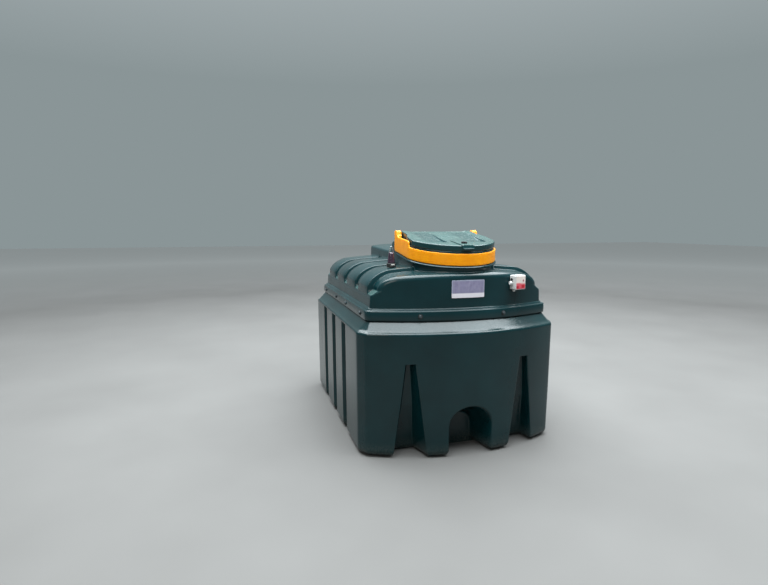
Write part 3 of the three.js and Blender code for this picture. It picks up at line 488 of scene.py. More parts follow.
def bowed_station(x, y):
    """Where a point of station y ends up: the dome's ends bulge by a parabola across their width."""
    reach = np.clip((np.abs(y) - BAND_EDGE_Y) / (DOME_HALF_LENGTH - BAND_EDGE_Y), 0, None)
    return y - np.sign(y) * reach * DOME_BOW * (x / DOME_HALF_WIDTH) ** 2


def dome_section(y, grow):
    """Points[station, column, 3] of the dome's arch from foot to foot: wall, ledge, a shoulder that is a
    quarter of the superellipse |x|^1.6 + |z|^1.6 = 1, and a parabolic crown. The ledge has a quadratic bend
    at either end."""
    roof, side, low = [values[:, None] for values in roof_and_side_drop(y, grow)]
    wall = SHOULDER_WALL - side - grow
    rise = DOME_RIDGE_Z - DOME_CROWN - SHOULDER_Z - roof - grow
    foot_x, low_x = DOME_HALF_WIDTH - low - grow, SHOULDER_WALL - low - grow

    def bend(start, pull, end):
        """The quadratic curve (1-t)^2 start + 2t(1-t) pull + t^2 end, for each station's x or z."""
        t = np.linspace(0, 1, 5)
        return (1 - t) ** 2 * start + 2 * t * (1 - t) * pull + t**2 * end + 0 * wall

    def on_ledge(share):
        """A place on the straight line from the ledge's lower edge to its upper one."""
        return low_x + (wall - low_x) * share, LEDGE_LOW_Z + (LEDGE_HIGH_Z - LEDGE_LOW_Z) * share

    up = np.array([0, 0.35, 0.7, 0.92])
    (knee_x, knee_z), (brow_x, brow_z) = on_ledge(0.16), on_ledge(0.84)
    angle = np.linspace(0, math.pi / 2, 27)
    across, high = np.cos(angle) ** (2 / SHOULDER_POWER), np.sin(angle) ** (2 / SHOULDER_POWER)
    share = np.linspace(0.92, 0, 12)
    x = np.concatenate([
        foot_x + (low_x - foot_x) * up, bend(low_x, low_x, knee_x), bend(brow_x, wall, wall),
        SHOULDER_X + (wall - SHOULDER_X) * across, SHOULDER_X * share + wall * 0,
    ], axis=1)
    z = np.concatenate([
        DOME_FOOT_Z + (LEDGE_LOW_Z - DOME_FOOT_Z) * up + wall * 0, bend(LEDGE_LOW_Z - 5, LEDGE_LOW_Z, knee_z),
        bend(brow_z, LEDGE_HIGH_Z, LEDGE_HIGH_Z + 6), SHOULDER_Z + rise * high,
        SHOULDER_Z + rise + DOME_CROWN * (1 - share**2),
    ], axis=1)
    x = np.concatenate([x, -x[:, -2::-1]], axis=1)
    z = np.concatenate([z, z[:, -2::-1]], axis=1)
    return np.stack([x, bowed_station(x, y[:, None]), z], -1)


def dome_sheet(grow):
    """The dome's surface, moved in by grow: the front face in upright columns, the stations, and the rear
    face. The stations gather on the ramp at each edge of a groove or band, by shares of the ramp's
    width."""
    end = DOME_HALF_LENGTH - grow - BAND_EDGE_RADIUS * (1 - np.sin(np.linspace(math.pi / 2, 0, 12)))
    shares = np.array([-0.35, -0.18, -0.06, 0.06, 0.18, 0.35, 0.65, 0.82, 0.94, 1.06, 1.18, 1.35])
    groove = GROOVE_HALF + grow + GROOVE_RAMP * shares
    band = BAND_EDGE_Y - grow - GROOVE_RAMP * shares
    far = GROOVE_STATIONS[-1]
    half = np.concatenate([
        end, [700, 650], band, [520, 480, 440], far + groove[::-1], [far + 12, far - 12], far - groove,
        [200, HOOP_MIDDLE, 120], groove[::-1], [12],
    ])
    stations = np.concatenate([-half, half[::-1]])
    arch = dome_section(stations, grow)
    base = arch[:1] * [1, 1, 0] + [0, 0, DOME_FOOT_Z]
    front = base + (arch[:1] - base) * np.array([0, 0.2, 0.4, 0.6, 0.8, 0.93, 0.98])[:, None, None]
    return np.concatenate([front, arch, (front * [-1, -1, 1])[::-1, ::-1]])


def plate(name, front, back, material, sharp=40):
    """One closed body between two sheets of the same grid, joined all round their border."""
    rows, columns = front.shape[:2]
    number = np.arange(rows * columns).reshape(rows, columns)
    quads = np.stack([number[:-1, :-1], number[:-1, 1:], number[1:, 1:], number[1:, :-1]], -1).reshape(-1, 4)
    other = quads[:, ::-1] + rows * columns
    border = np.concatenate([number[0, :-1], number[:-1, -1], number[-1, :0:-1], number[:0:-1, 0]])
    after = np.roll(border, -1)
    rim = np.stack([after, border, border + rows * columns, after + rows * columns], -1)
    points = np.concatenate([front.reshape(-1, 3), back.reshape(-1, 3)])
    return piece(name, points, np.concatenate([quads, other, rim]).tolist(), material, sharp)


dome = plate("inner_tank_dome", dome_sheet(0), dome_sheet(DOME_WALL), roof_green, sharp=50)
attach(dome, "tank")
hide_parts("inner_tank_roof")

# Fill neck. A short wide pipe of the same moulding, half round in front and square at the back, whose rim
# slopes down to the front. A rounded ledge under the collar carries it, and the foot flares into the roof.

NECK_Y, NECK_RADIUS, NECK_WALL, NECK_FLARE, NECK_RIM_ROUND = -513, 262, 12, 8, 4
NECK_BACK_Y, BORE_BACK_Y, BORE_LOW_Z = -328, -340, 983
LID_SLOPE = 0.132
LID_TILT = math.atan(LID_SLOPE)
COLLAR_RADIUS, COLLAR_LOW_Z, COLLAR_HIGH_Z = 271, 1058, 1125
LID_BOTTOM_Z = COLLAR_HIGH_Z + 11
LID_GAP = 0.3


def roof_height(x, y):
    """Height of the dome's roof over (x, y): its crown or shoulder, at the station that bulges out to y."""
    bulge = DOME_BOW * (x / DOME_HALF_WIDTH) ** 2 / (DOME_HALF_LENGTH - BAND_EDGE_Y)
    outer = np.sign(y) * (np.abs(y) - BAND_EDGE_Y * bulge) / (1 - bulge)
    station = np.where(np.abs(y) > BAND_EDGE_Y, np.clip(outer, -DOME_HALF_LENGTH, DOME_HALF_LENGTH), y)
    roof, side, _ = roof_and_side_drop(station, 0)
    rise = DOME_RIDGE_Z - DOME_CROWN - SHOULDER_Z - roof
    out = np.clip((np.abs(x) - SHOULDER_X) / (SHOULDER_WALL - side - SHOULDER_X), 0, 1)
    high = np.sqrt(1 - out**SHOULDER_POWER) ** (2 / SHOULDER_POWER)
    return SHOULDER_Z + rise * high + DOME_CROWN * (1 - np.clip(np.abs(x) / SHOULDER_X, 0, 1) ** 2)


def slope_z(front_z, y):
    """Height at y of the plane that slopes with the lid and has front_z at the collar's front."""
    return front_z + LID_SLOPE * (y - NECK_Y + COLLAR_RADIUS)


def neck_loops():
    """The neck's outer and bore's loop, column for column: front half circle, side, back and side."""
    angle = np.linspace(math.pi, 2 * math.pi, 73)
    circle = np.stack([np.cos(angle), np.sin(angle)], -1)
    side = np.linspace(0, 1, 15)[1:]
    back = np.linspace(1, -1, 29)[1:-1]
    outer_side = np.stack([0 * side + NECK_RADIUS, NECK_Y + side * (NECK_BACK_Y - NECK_Y)], -1)
    outer_back = np.stack([back * NECK_RADIUS, 0 * back + NECK_BACK_Y], -1)
    outer_front = circle * NECK_RADIUS + [0, NECK_Y]
    outer = np.concatenate([outer_front, outer_side, outer_back, outer_side[::-1] * [-1, 1]])
    bore = NECK_RADIUS - NECK_WALL
    last = math.asin((BORE_BACK_Y - NECK_Y) / bore)
    bore_side = np.stack([bore * np.cos(side * last), NECK_Y + bore * np.sin(side * last)], -1)
    bore_back = np.stack([back * bore * math.cos(last), 0 * back + BORE_BACK_Y], -1)
    inner = np.concatenate([circle * bore + [0, NECK_Y], bore_side, bore_back, bore_side[::-1] * [-1, 1]])
    return outer, inner


def quarter(steps):
    """Pairs 1 - cos a and 1 - sin a of a quarter circle, at even steps of the angle a."""
    return [(1 - math.cos(a), 1 - math.sin(a)) for a in np.linspace(0, math.pi / 2, steps)]


def neck_grid():
    """Rows round the neck's wall: flared foot, ledge, wall, rounded rim and bore. A row is the outer or the
    bore's loop moved along the line that joins them, at its own height."""
    outer, inner = neck_loops()
    way = (inner - outer) / np.linalg.norm(inner - outer, axis=1)[:, None]
    foot_z = roof_height(outer[:, 0], np.minimum(outer[:, 1], NECK_BACK_Y))
    ledge = slope_z(COLLAR_LOW_Z, outer[:, 1])
    ledge_profile = (
        (21, 0), (18, 1.2), (15.5, 8), (13.5, 12.8), (12, 14), (10.6, 13.8), (5, 8.6), (4.3, 7), (4, 0),
    )
    outer_rim = slope_z(LID_BOTTOM_Z, outer[:, 1]) - LID_GAP
    inner_rim = slope_z(LID_BOTTOM_Z, inner[:, 1]) - LID_GAP
    level = np.zeros(len(inner))
    outside = [(-NECK_FLARE, foot_z - 6)]
    outside += [(-NECK_FLARE * less, foot_z + NECK_FLARE * gone) for gone, less in quarter(5)]
    outside += [(-out, np.maximum(ledge - drop, foot_z + NECK_FLARE + 0.1)) for drop, out in ledge_profile]
    outside += [(0, (ledge + outer_rim) / 2)]
    outside += [(NECK_RIM_ROUND * gone, outer_rim - NECK_RIM_ROUND * less) for gone, less in quarter(5)]
    inside = [(NECK_RIM_ROUND * gone, inner_rim - NECK_RIM_ROUND * less) for gone, less in quarter(5)[::-1]]
    inside += [(0, level + z) for z in (1110, 1060, 1020, BORE_LOW_Z + 2)]
    inside += [(NECK_WALL / 2, level + BORE_LOW_Z)]
    rows = [np.column_stack([outer + way * inward, z]) for inward, z in outside]
    rows += [np.column_stack([inner - way * outward, z]) for outward, z in inside]
    return np.stack(rows)


neck = skin("fill_neck", neck_grid(), roof_green, ring=True)
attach(neck, "tank")
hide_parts("inner_tank_roof")

_, bore_loop = neck_loops()
bore_rows = [np.column_stack([bore_loop, np.full(len(bore_loop), z)]) for z in (940.0, 1150.0)]
cutter = skin("bore_cutter", np.stack(bore_rows), roof_green)
bored = dome.modifiers.new("bore", "BOOLEAN")
bored.operation, bored.solver, bored.object = "DIFFERENCE", "EXACT", cutter
cut_mesh = bpy.data.meshes.new_from_object(dome.evaluated_get(bpy.context.evaluated_depsgraph_get()))
dome.modifiers.clear()
dome.data = cut_mesh
bpy.data.objects.remove(cutter)

# Hinge pad behind the neck, part of the same moulding: lower than the rim, level under the hinge, and
# sloping down to the roof behind it.

PAD_FRONT_Y, PAD_TOP_Z, PAD_SLOPE_Y, PAD_FOOT_Y, PAD_FOOT_Z, PAD_UNDER_Z = -338, 1182, -200, -128, 1056, 1012
PAD_EDGE = 12


def pad_profile(inset):
    """The pad's side view as a loop of points (y, z): its upper bends and its foot are quadratic curves."""
    top, front = PAD_TOP_Z - inset, PAD_FRONT_Y + inset
    slope = np.array([PAD_FOOT_Y - PAD_SLOPE_Y, PAD_FOOT_Z - PAD_TOP_Z])
    slope = slope / np.linalg.norm(slope)
    bend, foot = np.array([PAD_SLOPE_Y - inset * 0.6, top]), np.array([PAD_FOOT_Y - inset * 1.1, PAD_FOOT_Z])
    t = np.linspace(0, 1, 7)
    return np.concatenate([
        [[front, PAD_UNDER_Z], [front, top - 30]],
        quadratic((front, top - 8), (front, top), (front + 8, top), t),
        [[(front + bend[0]) / 2, top]],
        quadratic(bend - [16, 0], bend, bend + slope * 16, t),
        [(bend + foot) / 2],
        quadratic(foot - slope * 12, foot, foot + [9, -9], t),
        [[foot[0] + 16, PAD_FOOT_Z - 22], [foot[0] + 16, PAD_UNDER_Z]],
    ])


pad_edge_x = NECK_RADIUS - PAD_EDGE * (1 - np.sin(np.linspace(0, math.pi / 2, 6)))
pad_x = np.sort(np.concatenate([pad_edge_x, -pad_edge_x, np.linspace(-200, 200, 9)]))
pad_off = np.clip(np.abs(pad_x) - NECK_RADIUS + PAD_EDGE, 0, PAD_EDGE)
pad_rows = []
for x, inset in zip(pad_x, PAD_EDGE - np.sqrt(PAD_EDGE**2 - pad_off**2)):
    profile = pad_profile(inset)
    pad_rows.append(np.column_stack([np.full(len(profile), x), profile]))
hinge_pad = skin("hinge_pad", np.stack(pad_rows), roof_green)
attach(hinge_pad, "tank")
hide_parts("inner_tank_roof")

# Raised block along the middle of the roof, part of the same moulding. It rises slightly to the rear, its
# top is crowned, and its walls flare into the roof.

BLOCK_HALF, BLOCK_FRONT_Y, BLOCK_REAR_Y = 190, -160, 640
BLOCK_FRONT_Z, BLOCK_REAR_Z, BLOCK_CROWN = 1094, 1122, 14
BLOCK_EDGE, BLOCK_FLARE, BLOCK_CORNER, BLOCK_DRAFT = 16, 9, 34, 2


def block_loop(inset):
    """A round-cornered rectangle, pulled in by inset from the block's plan."""
    half, front, rear = BLOCK_HALF - inset, BLOCK_FRONT_Y + inset, BLOCK_REAR_Y - inset
    corner = min(max(BLOCK_CORNER - inset, 3), half)
    turn = np.linspace(0, math.pi / 2, 8)
    arc = corner * np.stack([np.sin(turn), 1 - np.cos(turn)], -1)
    front_x = np.linspace(-half + corner, half - corner, 24)[:-1]
    side_y = np.linspace(front + corner, rear - corner, 70)[1:-1]
    first = np.concatenate([
        np.stack([front_x, 0 * front_x + front], -1), arc + [half - corner, front],
        np.stack([0 * side_y + half, side_y], -1), (arc * [1, -1])[::-1] + [half - corner, rear],
    ])
    return np.concatenate([first, [0, front + rear] - first])


def block_top(x, y):
    """Height of the block's top: an even rise to the rear and a parabolic crown across."""
    rise = np.clip((y - BLOCK_FRONT_Y) / (BLOCK_REAR_Y - BLOCK_FRONT_Y), 0, 1)
    return BLOCK_FRONT_Z + (BLOCK_REAR_Z - BLOCK_FRONT_Z) * rise + BLOCK_CROWN * (1 - (x / BLOCK_HALF) ** 2)


# Each row of the block: its inset, its share of the way from the roof to the block's top, and what it is
# lifted by.
block_profile = [(-BLOCK_FLARE, 0, -8)]
block_profile += [(-BLOCK_FLARE * less, 0, BLOCK_FLARE * gone) for gone, less in quarter(6)]
block_profile += [(BLOCK_DRAFT / 2, 0.5, 0)]
block_profile += [(BLOCK_DRAFT + BLOCK_EDGE * gone, 1, -BLOCK_EDGE * less) for gone, less in quarter(9)]
block_profile += [(inset, 1, 0) for inset in (30, 50, 80, 120, 155, 180, 188)]
block_rows = []
for inset, share, lift in block_profile:
    loop = block_loop(inset)
    roof = roof_height(loop[:, 0], loop[:, 1])
    over_roof = block_top(loop[:, 0], loop[:, 1]) - roof
    block_rows.append(np.column_stack([loop, roof + over_roof * share + lift]))
block = skin("roof_block", np.stack(block_rows), roof_green)
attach(block, "tank")
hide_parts("inner_tank_roof")

# Hinge collar. A band of yellow polyethylene round the neck, rotationally moulded with rounded edges.
# Beside the lid's rear half it steps up into two arms, which end in two thick ears that hold the hinge
# pins.

COLLAR_GAP_RADIUS, COLLAR_EDGE, COLLAR_REAR_EDGE = 262.3, 3.6, 4
ARM_FRONT_Y, ARM_FRONT_Z, ARM_REAR_Y, ARM_REAR_Z = -535, 1192, -358, 1209
EAR_INNER_X, EAR_FRONT_Y, EAR_REAR_Y, EAR_THICK_Z, EAR_TOP_Z = 240, -328, -281, 1198, 1249
EAR_CORNER, EAR_FOOT_CORNER = 16, 14


def collar_top():
    """The collar's upper edge as points (y, z): level with the lid's slope, a step up to the arm, and the
    ear. Each bend is a quadratic curve."""
    t = np.linspace(0, 1, 13)
    low_y = np.array([ARM_FRONT_Y - 34, ARM_FRONT_Y - 16, ARM_FRONT_Y - 12])
    low = np.column_stack([low_y, slope_z(COLLAR_HIGH_Z, low_y) + [0, 0, 13]])
    arm_way = np.array([1, (ARM_REAR_Z - ARM_FRONT_Z) / (ARM_REAR_Y - ARM_FRONT_Y)])
    arm_front = np.array([ARM_FRONT_Y, ARM_FRONT_Z])
    ear_front, ear_rear = np.array([EAR_FRONT_Y, EAR_TOP_Z]), np.array([EAR_REAR_Y, EAR_TOP_Z])
    shoulder = ear_front - [3, EAR_CORNER]
    start_y = NECK_Y - 300
    return np.concatenate([
        [[start_y, slope_z(COLLAR_HIGH_Z, start_y)]],
        quadratic(*low, t),
        quadratic(arm_front - [10, 11], arm_front - [7, 0.6], arm_front + arm_way * 8, t),
        quadratic((ARM_REAR_Y, ARM_REAR_Z), (EAR_FRONT_Y - 9, ARM_REAR_Z + 3), shoulder, t),
        quadratic(shoulder, ear_front, ear_front + [EAR_CORNER, 0], t)[1:],
        quadratic(ear_rear - [EAR_CORNER, 0], ear_rear, ear_rear - [0, EAR_CORNER], t),
    ])


def collar_grid():
    """The collar's section carried round the neck. A section is a rounded bar whose outer face lies on the
    collar's radius; its inner face steps in to the ear's thickness above the ear's foot."""
    arm_y = -np.concatenate([
        [281, 281.15, 281.6, 282.4, 283.6, 285, 287, 289.5, 292.5, 296], np.linspace(299, 316, 6),
        np.arange(318, 364, 2.0), np.linspace(368, 505, 14),
    ])
    step_angle = np.radians(np.linspace(0, 15, 44))
    angle = np.concatenate([
        math.pi + step_angle, np.radians(np.linspace(196.8, 343.2, 78)), 2 * math.pi - step_angle[::-1],
    ])
    left = np.column_stack([arm_y * 0 - 1, arm_y * 0, arm_y])
    arc = np.column_stack([np.cos(angle), np.sin(angle), angle * 0 + NECK_Y])
    way = np.concatenate([left, arc, left[::-1] * [-1, 1, 1]])
    station_y = way[:, 2:] + way[:, 1:2] * COLLAR_RADIUS
    top = collar_top()
    order = np.argsort(top[:, 0], kind="stable")
    rear_reach = np.clip(station_y - (EAR_REAR_Y - COLLAR_REAR_EDGE), 0, COLLAR_REAR_EDGE)
    shrink = COLLAR_REAR_EDGE - np.sqrt(COLLAR_REAR_EDGE**2 - rear_reach**2)
    foot_reach = np.clip(station_y - (EAR_REAR_Y - EAR_FOOT_CORNER), 0, EAR_FOOT_CORNER)
    foot_rise = EAR_FOOT_CORNER - np.sqrt(EAR_FOOT_CORNER**2 - foot_reach**2)
    high = np.interp(station_y, top[order, 0], top[order, 1]) - shrink
    low = slope_z(COLLAR_LOW_Z, station_y) + foot_rise + shrink
    ear = eased((station_y - EAR_FRONT_Y + 17) / 6) * (way[:, 1:2] == 0)

    thick = COLLAR_RADIUS - COLLAR_GAP_RADIUS - shrink
    turn = np.linspace(0, math.pi / 2, 5)[None]
    gone, less = 1 - np.cos(turn), 1 - np.sin(turn)
    edge, under_edge, inner_edge = COLLAR_EDGE, COLLAR_EDGE * 0.6, COLLAR_EDGE * (0.6 + 0.9 * ear)
    step_z = np.minimum(EAR_THICK_Z, high + shrink - 9)
    inward = shrink - (COLLAR_GAP_RADIUS - EAR_INNER_X) * ear
    face_share = np.array([[0.2, 0.4, 0.6, 0.8]])
    drop, back_share = np.array([[0.35, 0.7]]), np.array([[0.02, 0.5]])
    under_z, under_share = np.array([[4.0, 2.2, 0.9, 0.2]]), np.array([[0.0, 0.3, 1.2, 3.0]])
    parts = [
        (thick - edge * less, low + edge * gone),
        (thick + 0 * face_share, low + edge + (high - low - 2 * edge) * face_share),
        (thick - edge * gone, high - edge * less),
        (inward + inner_edge * less, high - inner_edge * gone),
        (inward + 0 * drop, high - inner_edge + (step_z + 5 - high + inner_edge) * drop),
        (inward + under_share * ear, step_z + under_z),
        (shrink + 0 * back_share, step_z - 0.2 + (low - step_z) * back_share),
        (under_edge * gone + shrink, low + under_edge * less),
    ]
    radius = COLLAR_GAP_RADIUS + np.concatenate([out for out, _ in parts], axis=1)
    z = np.concatenate([z for _, z in parts], axis=1)
    return np.stack([way[:, :1] * radius, way[:, 2:] + way[:, 1:2] * radius, z], -1)


# Yellow polyethylene: the pigment is even and strong, so only its gloss and a faint mottle vary.
collar_yellow, tree, shader = new_material("rotomoulded_yellow_polyethylene")
waves = add_node(tree, "Bump", Strength=0.4, Distance=0.0008, Height=patches(tree, 70, 1))
fill(
    shader,
    Base_Color=add_node(tree, "ValToRGB", patches(tree, 45, 3), stops=((0.3, "#e08800"), (0.7, "#ea9500"))),
    Specular_IOR_Level=0.3,
    Roughness=add_node(tree, "MapRange", patches(tree, 20, 4), 0.3, 0.7, 0.32, 0.44),
    Subsurface_Weight=0.08,
    Subsurface_Radius=(0.006, 0.004, 0.001),
    Subsurface_Scale=1.0,
    Normal=add_node(tree, "Bump", Strength=0.15, Distance=0.0004, Height=patches(tree, 3), Normal=waves),
)

collar = skin("hinge_collar_band", collar_grid(), collar_yellow, sharp=45)
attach(collar, "tank")
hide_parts("hinge_collar")

# Hinge pins. Two short black nylon rods that stand in the ears' blind holes and reach into the ends of the
# lid's barrel. They show only in the gap between the two.

pin_nylon, tree, shader = new_material("black_nylon")
pin_colour = add_node(tree, "ValToRGB", patches(tree, 6, 3), stops=((0.3, "#0f1011"), (0.7, "#191a1c")))
fill(shader, Base_Color=pin_colour, Roughness=0.45)
for side in ("left", "right"):
    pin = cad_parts[f"hinge_pin_{side}"]
    pin.data.materials.clear()
    pin.data.materials.append(pin_nylon)

# Lid. A green polyethylene disc: its front half overhangs the collar, its narrower rear half ends straight
# at the hinge. Its top has two sunk pans beside a raised panel and climbs to the hinge barrel, and its
# underside is hollow. Drawn level, then tilted onto the neck.

LID_RADIUS, LID_REAR_RADIUS, LID_STEP_Y, LID_THICK, LID_RISE, LID_EDGE = 264, 257, -50, 33, 7, 7
LID_HOLLOW, LID_HOLLOW_RADIUS, LID_HOLLOW_REAR = 18, 234, 169
BARREL_RADIUS, BARREL_HALF, KNUCKLE_X, KNUCKLE_RISE, PIN_HOLE_RADIUS = 20, 233, 192, 4, 7
HINGE_Y, HINGE_Z = -300, 1222
PAN_INNER_X, PAN_OUTER_X, PAN_FRONT, PAN_REAR, PAN_CORNER, PAN_DEPTH = 68, 184, -142, 178, 46, 10
PANEL_CROWN = 1.5
LID_MIDDLE_Z = slope_z(LID_BOTTOM_Z, NECK_Y)


def on_lid(points):
    """Points drawn on the level lid, about its middle, turned by its tilt and set on the neck."""
    x, y, z = points[..., 0], points[..., 1], points[..., 2]
    c, s = math.cos(LID_TILT), math.sin(LID_TILT)
    return np.stack([x, NECK_Y + y * c - z * s, LID_MIDDLE_Z + y * s + z * c], -1)


def on_level(y, z):
    """The place in the level drawing that ends up at (y, z) on the tank."""
    dy, dz = y - NECK_Y, z - LID_MIDDLE_Z
    c, s = math.cos(LID_TILT), math.sin(LID_TILT)
    return dy * c + dz * s, dz * c - dy * s


hinge_y, hinge_z = on_level(HINGE_Y, HINGE_Z)


def lid_border():
    """The lid's outline: an arc in front, a narrower arc, straight sides beside the ears, and the rear."""
    meet = math.acos(BARREL_HALF / LID_REAR_RADIUS)
    dense = np.radians(np.linspace(8, 15, 30))
    behind = np.linspace(-meet, math.radians(7.5), 40)
    angle = np.concatenate([
        math.pi + behind, math.pi + dense, np.radians(np.linspace(196, 344, 180)), 2 * math.pi - dense[::-1],
        2 * math.pi - behind[::-1],
    ])
    round_y = LID_REAR_RADIUS * np.sin(angle)
    radius = LID_REAR_RADIUS + (LID_RADIUS - LID_REAR_RADIUS) * eased((LID_STEP_Y + 4 - round_y) / 8)
    arc = radius[:, None] * np.stack([np.cos(angle), np.sin(angle)], -1)
    side_y = np.linspace(arc[-1, 1], hinge_y, 24)[1:]
    rear_x = np.linspace(BARREL_HALF, -BARREL_HALF, 110)[1:-1]
    right = np.stack([side_y * 0 + BARREL_HALF, side_y], -1)
    rear = np.stack([rear_x, rear_x * 0 + hinge_y], -1)
    return np.concatenate([arc, right, rear, right[::-1] * [-1, 1]])


def pan_share(x, y):
    """How far a place on the lid lies in a pan, from 0 outside to 1 on its floor: the distance inside a
    rectangle with round front corners, eased over 6 mm."""
    centre_x, half = (PAN_INNER_X + PAN_OUTER_X) / 2, (PAN_OUTER_X - PAN_INNER_X) / 2
    off = np.maximum(np.abs(np.abs(x) - centre_x) - half, np.maximum(PAN_FRONT - y, y - PAN_REAR))
    corner_x = np.clip(np.abs(x) - (PAN_OUTER_X - PAN_CORNER), 0, None)
    corner_y = np.clip(PAN_FRONT + PAN_CORNER - y, 0, None)
    in_corner = (corner_x > 0) & (corner_y > 0)
    round_corner = np.where(in_corner, np.hypot(corner_x, corner_y) - PAN_CORNER, off)
    return eased(-np.maximum(off, round_corner) / 6)


def lid_top(x, y):
    """Height of the lid's top: flat in front, climbing to the barrel and its knuckles, with a crowned
    middle panel, less the pans, whose floors run out to the rear."""
    level = LID_THICK + LID_RISE * eased((y + 42) / 112) + 1.6 * np.clip((y - 90) / (hinge_y - 90), 0, 1)
    knuckle = KNUCKLE_RISE * eased((np.abs(x) - KNUCKLE_X + 14) / 20) * eased((y - 60) / 110)
    across = np.clip(1 - (x / (PAN_INNER_X + 6)) ** 2, 0, 1)
    crown = PANEL_CROWN * across * eased((y - PAN_FRONT + 20) / 20)
    depth = PAN_DEPTH * (1 - np.clip((y + 60) / (PAN_REAR + 60), 0, 1) ** 1.5)
    return level + knuckle + crown - depth * pan_share(x, y)


def lid_under(x, y):
    """Height of the lid's underside: a hollow inside the neck's bore, flat at the rear."""
    inside = np.minimum(LID_HOLLOW_RADIUS - np.hypot(x, y), LID_HOLLOW_REAR - y)
    return LID_HOLLOW * eased(inside / 14)


def lid_grid():
    """The level lid: its top from the middle out, its rounded edge, and its underside back in."""
    border = lid_border()
    length = np.linalg.norm(border, axis=1)[:, None]
    rows = []
    for share in np.linspace(0.01, 1, 125):
        flat = border * (share * (length - LID_EDGE) / length)
        rows.append(np.column_stack([flat, lid_top(flat[:, 0], flat[:, 1])]))
    edge_z = rows[-1][:, 2]
    level = edge_z * 0
    round_edge = [(LID_EDGE * less, edge_z - LID_EDGE * gone) for gone, less in quarter(7)[1:]]
    lower_edge = [(0, 20), (0, 9), (0, 4), (0.7, 1.6), (2.4, 0.2), (4, 0)]
    for inset, z in round_edge + [(inset, level + z) for inset, z in lower_edge]:
        rows.append(np.column_stack([border * ((length - inset) / length), z]))
    for share in np.linspace(0.98, 0.01, 60):
        flat = border * share
        rows.append(np.column_stack([flat, lid_under(flat[:, 0], flat[:, 1])]))
    return np.stack(rows)


# The lid's film colour #7a9c92 is painted on its up-facing faces as a painted reflection of the sky, weaker
# in the pans.
lid_green = moulded_polyethylene(
    "rotomoulded_green_polyethylene_of_the_lid", "#0a2b2d", "#0f3739", 10, 0.35, "#7a9c92", 0.17, "sunk",
)
lid_rows = lid_grid()
lid = skin("lid_disc", on_lid(lid_rows), lid_green, sharp=50)
sunk_share = pan_share(lid_rows[..., 0], lid_rows[..., 1]).ravel()
lid.data.attributes.new("sunk", "FLOAT", "POINT").data.foreach_set("value", np.append(sunk_share, [0, 0]))
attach(lid, "lid")
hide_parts("lid")


def barrel_grid():
    """The hinge barrel: a profile turned about the hinge axis, thicker at its knuckles, with rounded ends
    and a hole through it."""
    end = [
        (140, BARREL_RADIUS), (172, BARREL_RADIUS), (180, 20.6), (186, 22), (KNUCKLE_X, 23.4),
        (198, BARREL_RADIUS + KNUCKLE_RISE), (226, BARREL_RADIUS + KNUCKLE_RISE), (229.5, 23.4), (232, 21.6),
        (BARREL_HALF, 19), (BARREL_HALF, 9), (BARREL_HALF - 2, PIN_HOLE_RADIUS),
    ]
    profile = [(-x, radius) for x, radius in end[::-1][1:]]
    profile += [(-50, BARREL_RADIUS), (50, BARREL_RADIUS)] + end
    profile += [(x, PIN_HOLE_RADIUS) for x in (60, -60, 2 - BARREL_HALF)]
    angle = np.linspace(0, 2 * math.pi, 49)[:-1]
    return on_lid(np.stack([
        np.stack([angle * 0 + x, hinge_y + radius * np.cos(angle), hinge_z + radius * np.sin(angle)], -1)
        for x, radius in profile
    ]))


barrel = skin("lid_hinge_barrel", barrel_grid(), lid_green, ring=True)
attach(barrel, "lid")
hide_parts("lid")

# Latch plate. A thin polyethylene plate on the lid's front, bent down over the lid's edge and flared there
# into a finger grip. A black nylon catch stands up through its slot.

LATCH_HALF, LATCH_REAR, LATCH_THICK, LATCH_DROP, LATCH_BEND, LATCH_GRIP = 37, -88, 4, 15, 5.5, 9
SLOT_WIDE_HALF, SLOT_MIDDLE, SLOT_LONG = 17.5, -206, 24


def superellipse(columns, power):
    """Points round the closed curve |x|^power + |y|^power = 1, at even steps of the angle."""
    angle = np.linspace(0, 2 * math.pi, columns + 1)[:-1]
    circle = np.stack([np.cos(angle), np.sin(angle)], -1)
    return circle * (np.abs(circle) ** power).sum(-1)[:, None] ** (-1 / power)


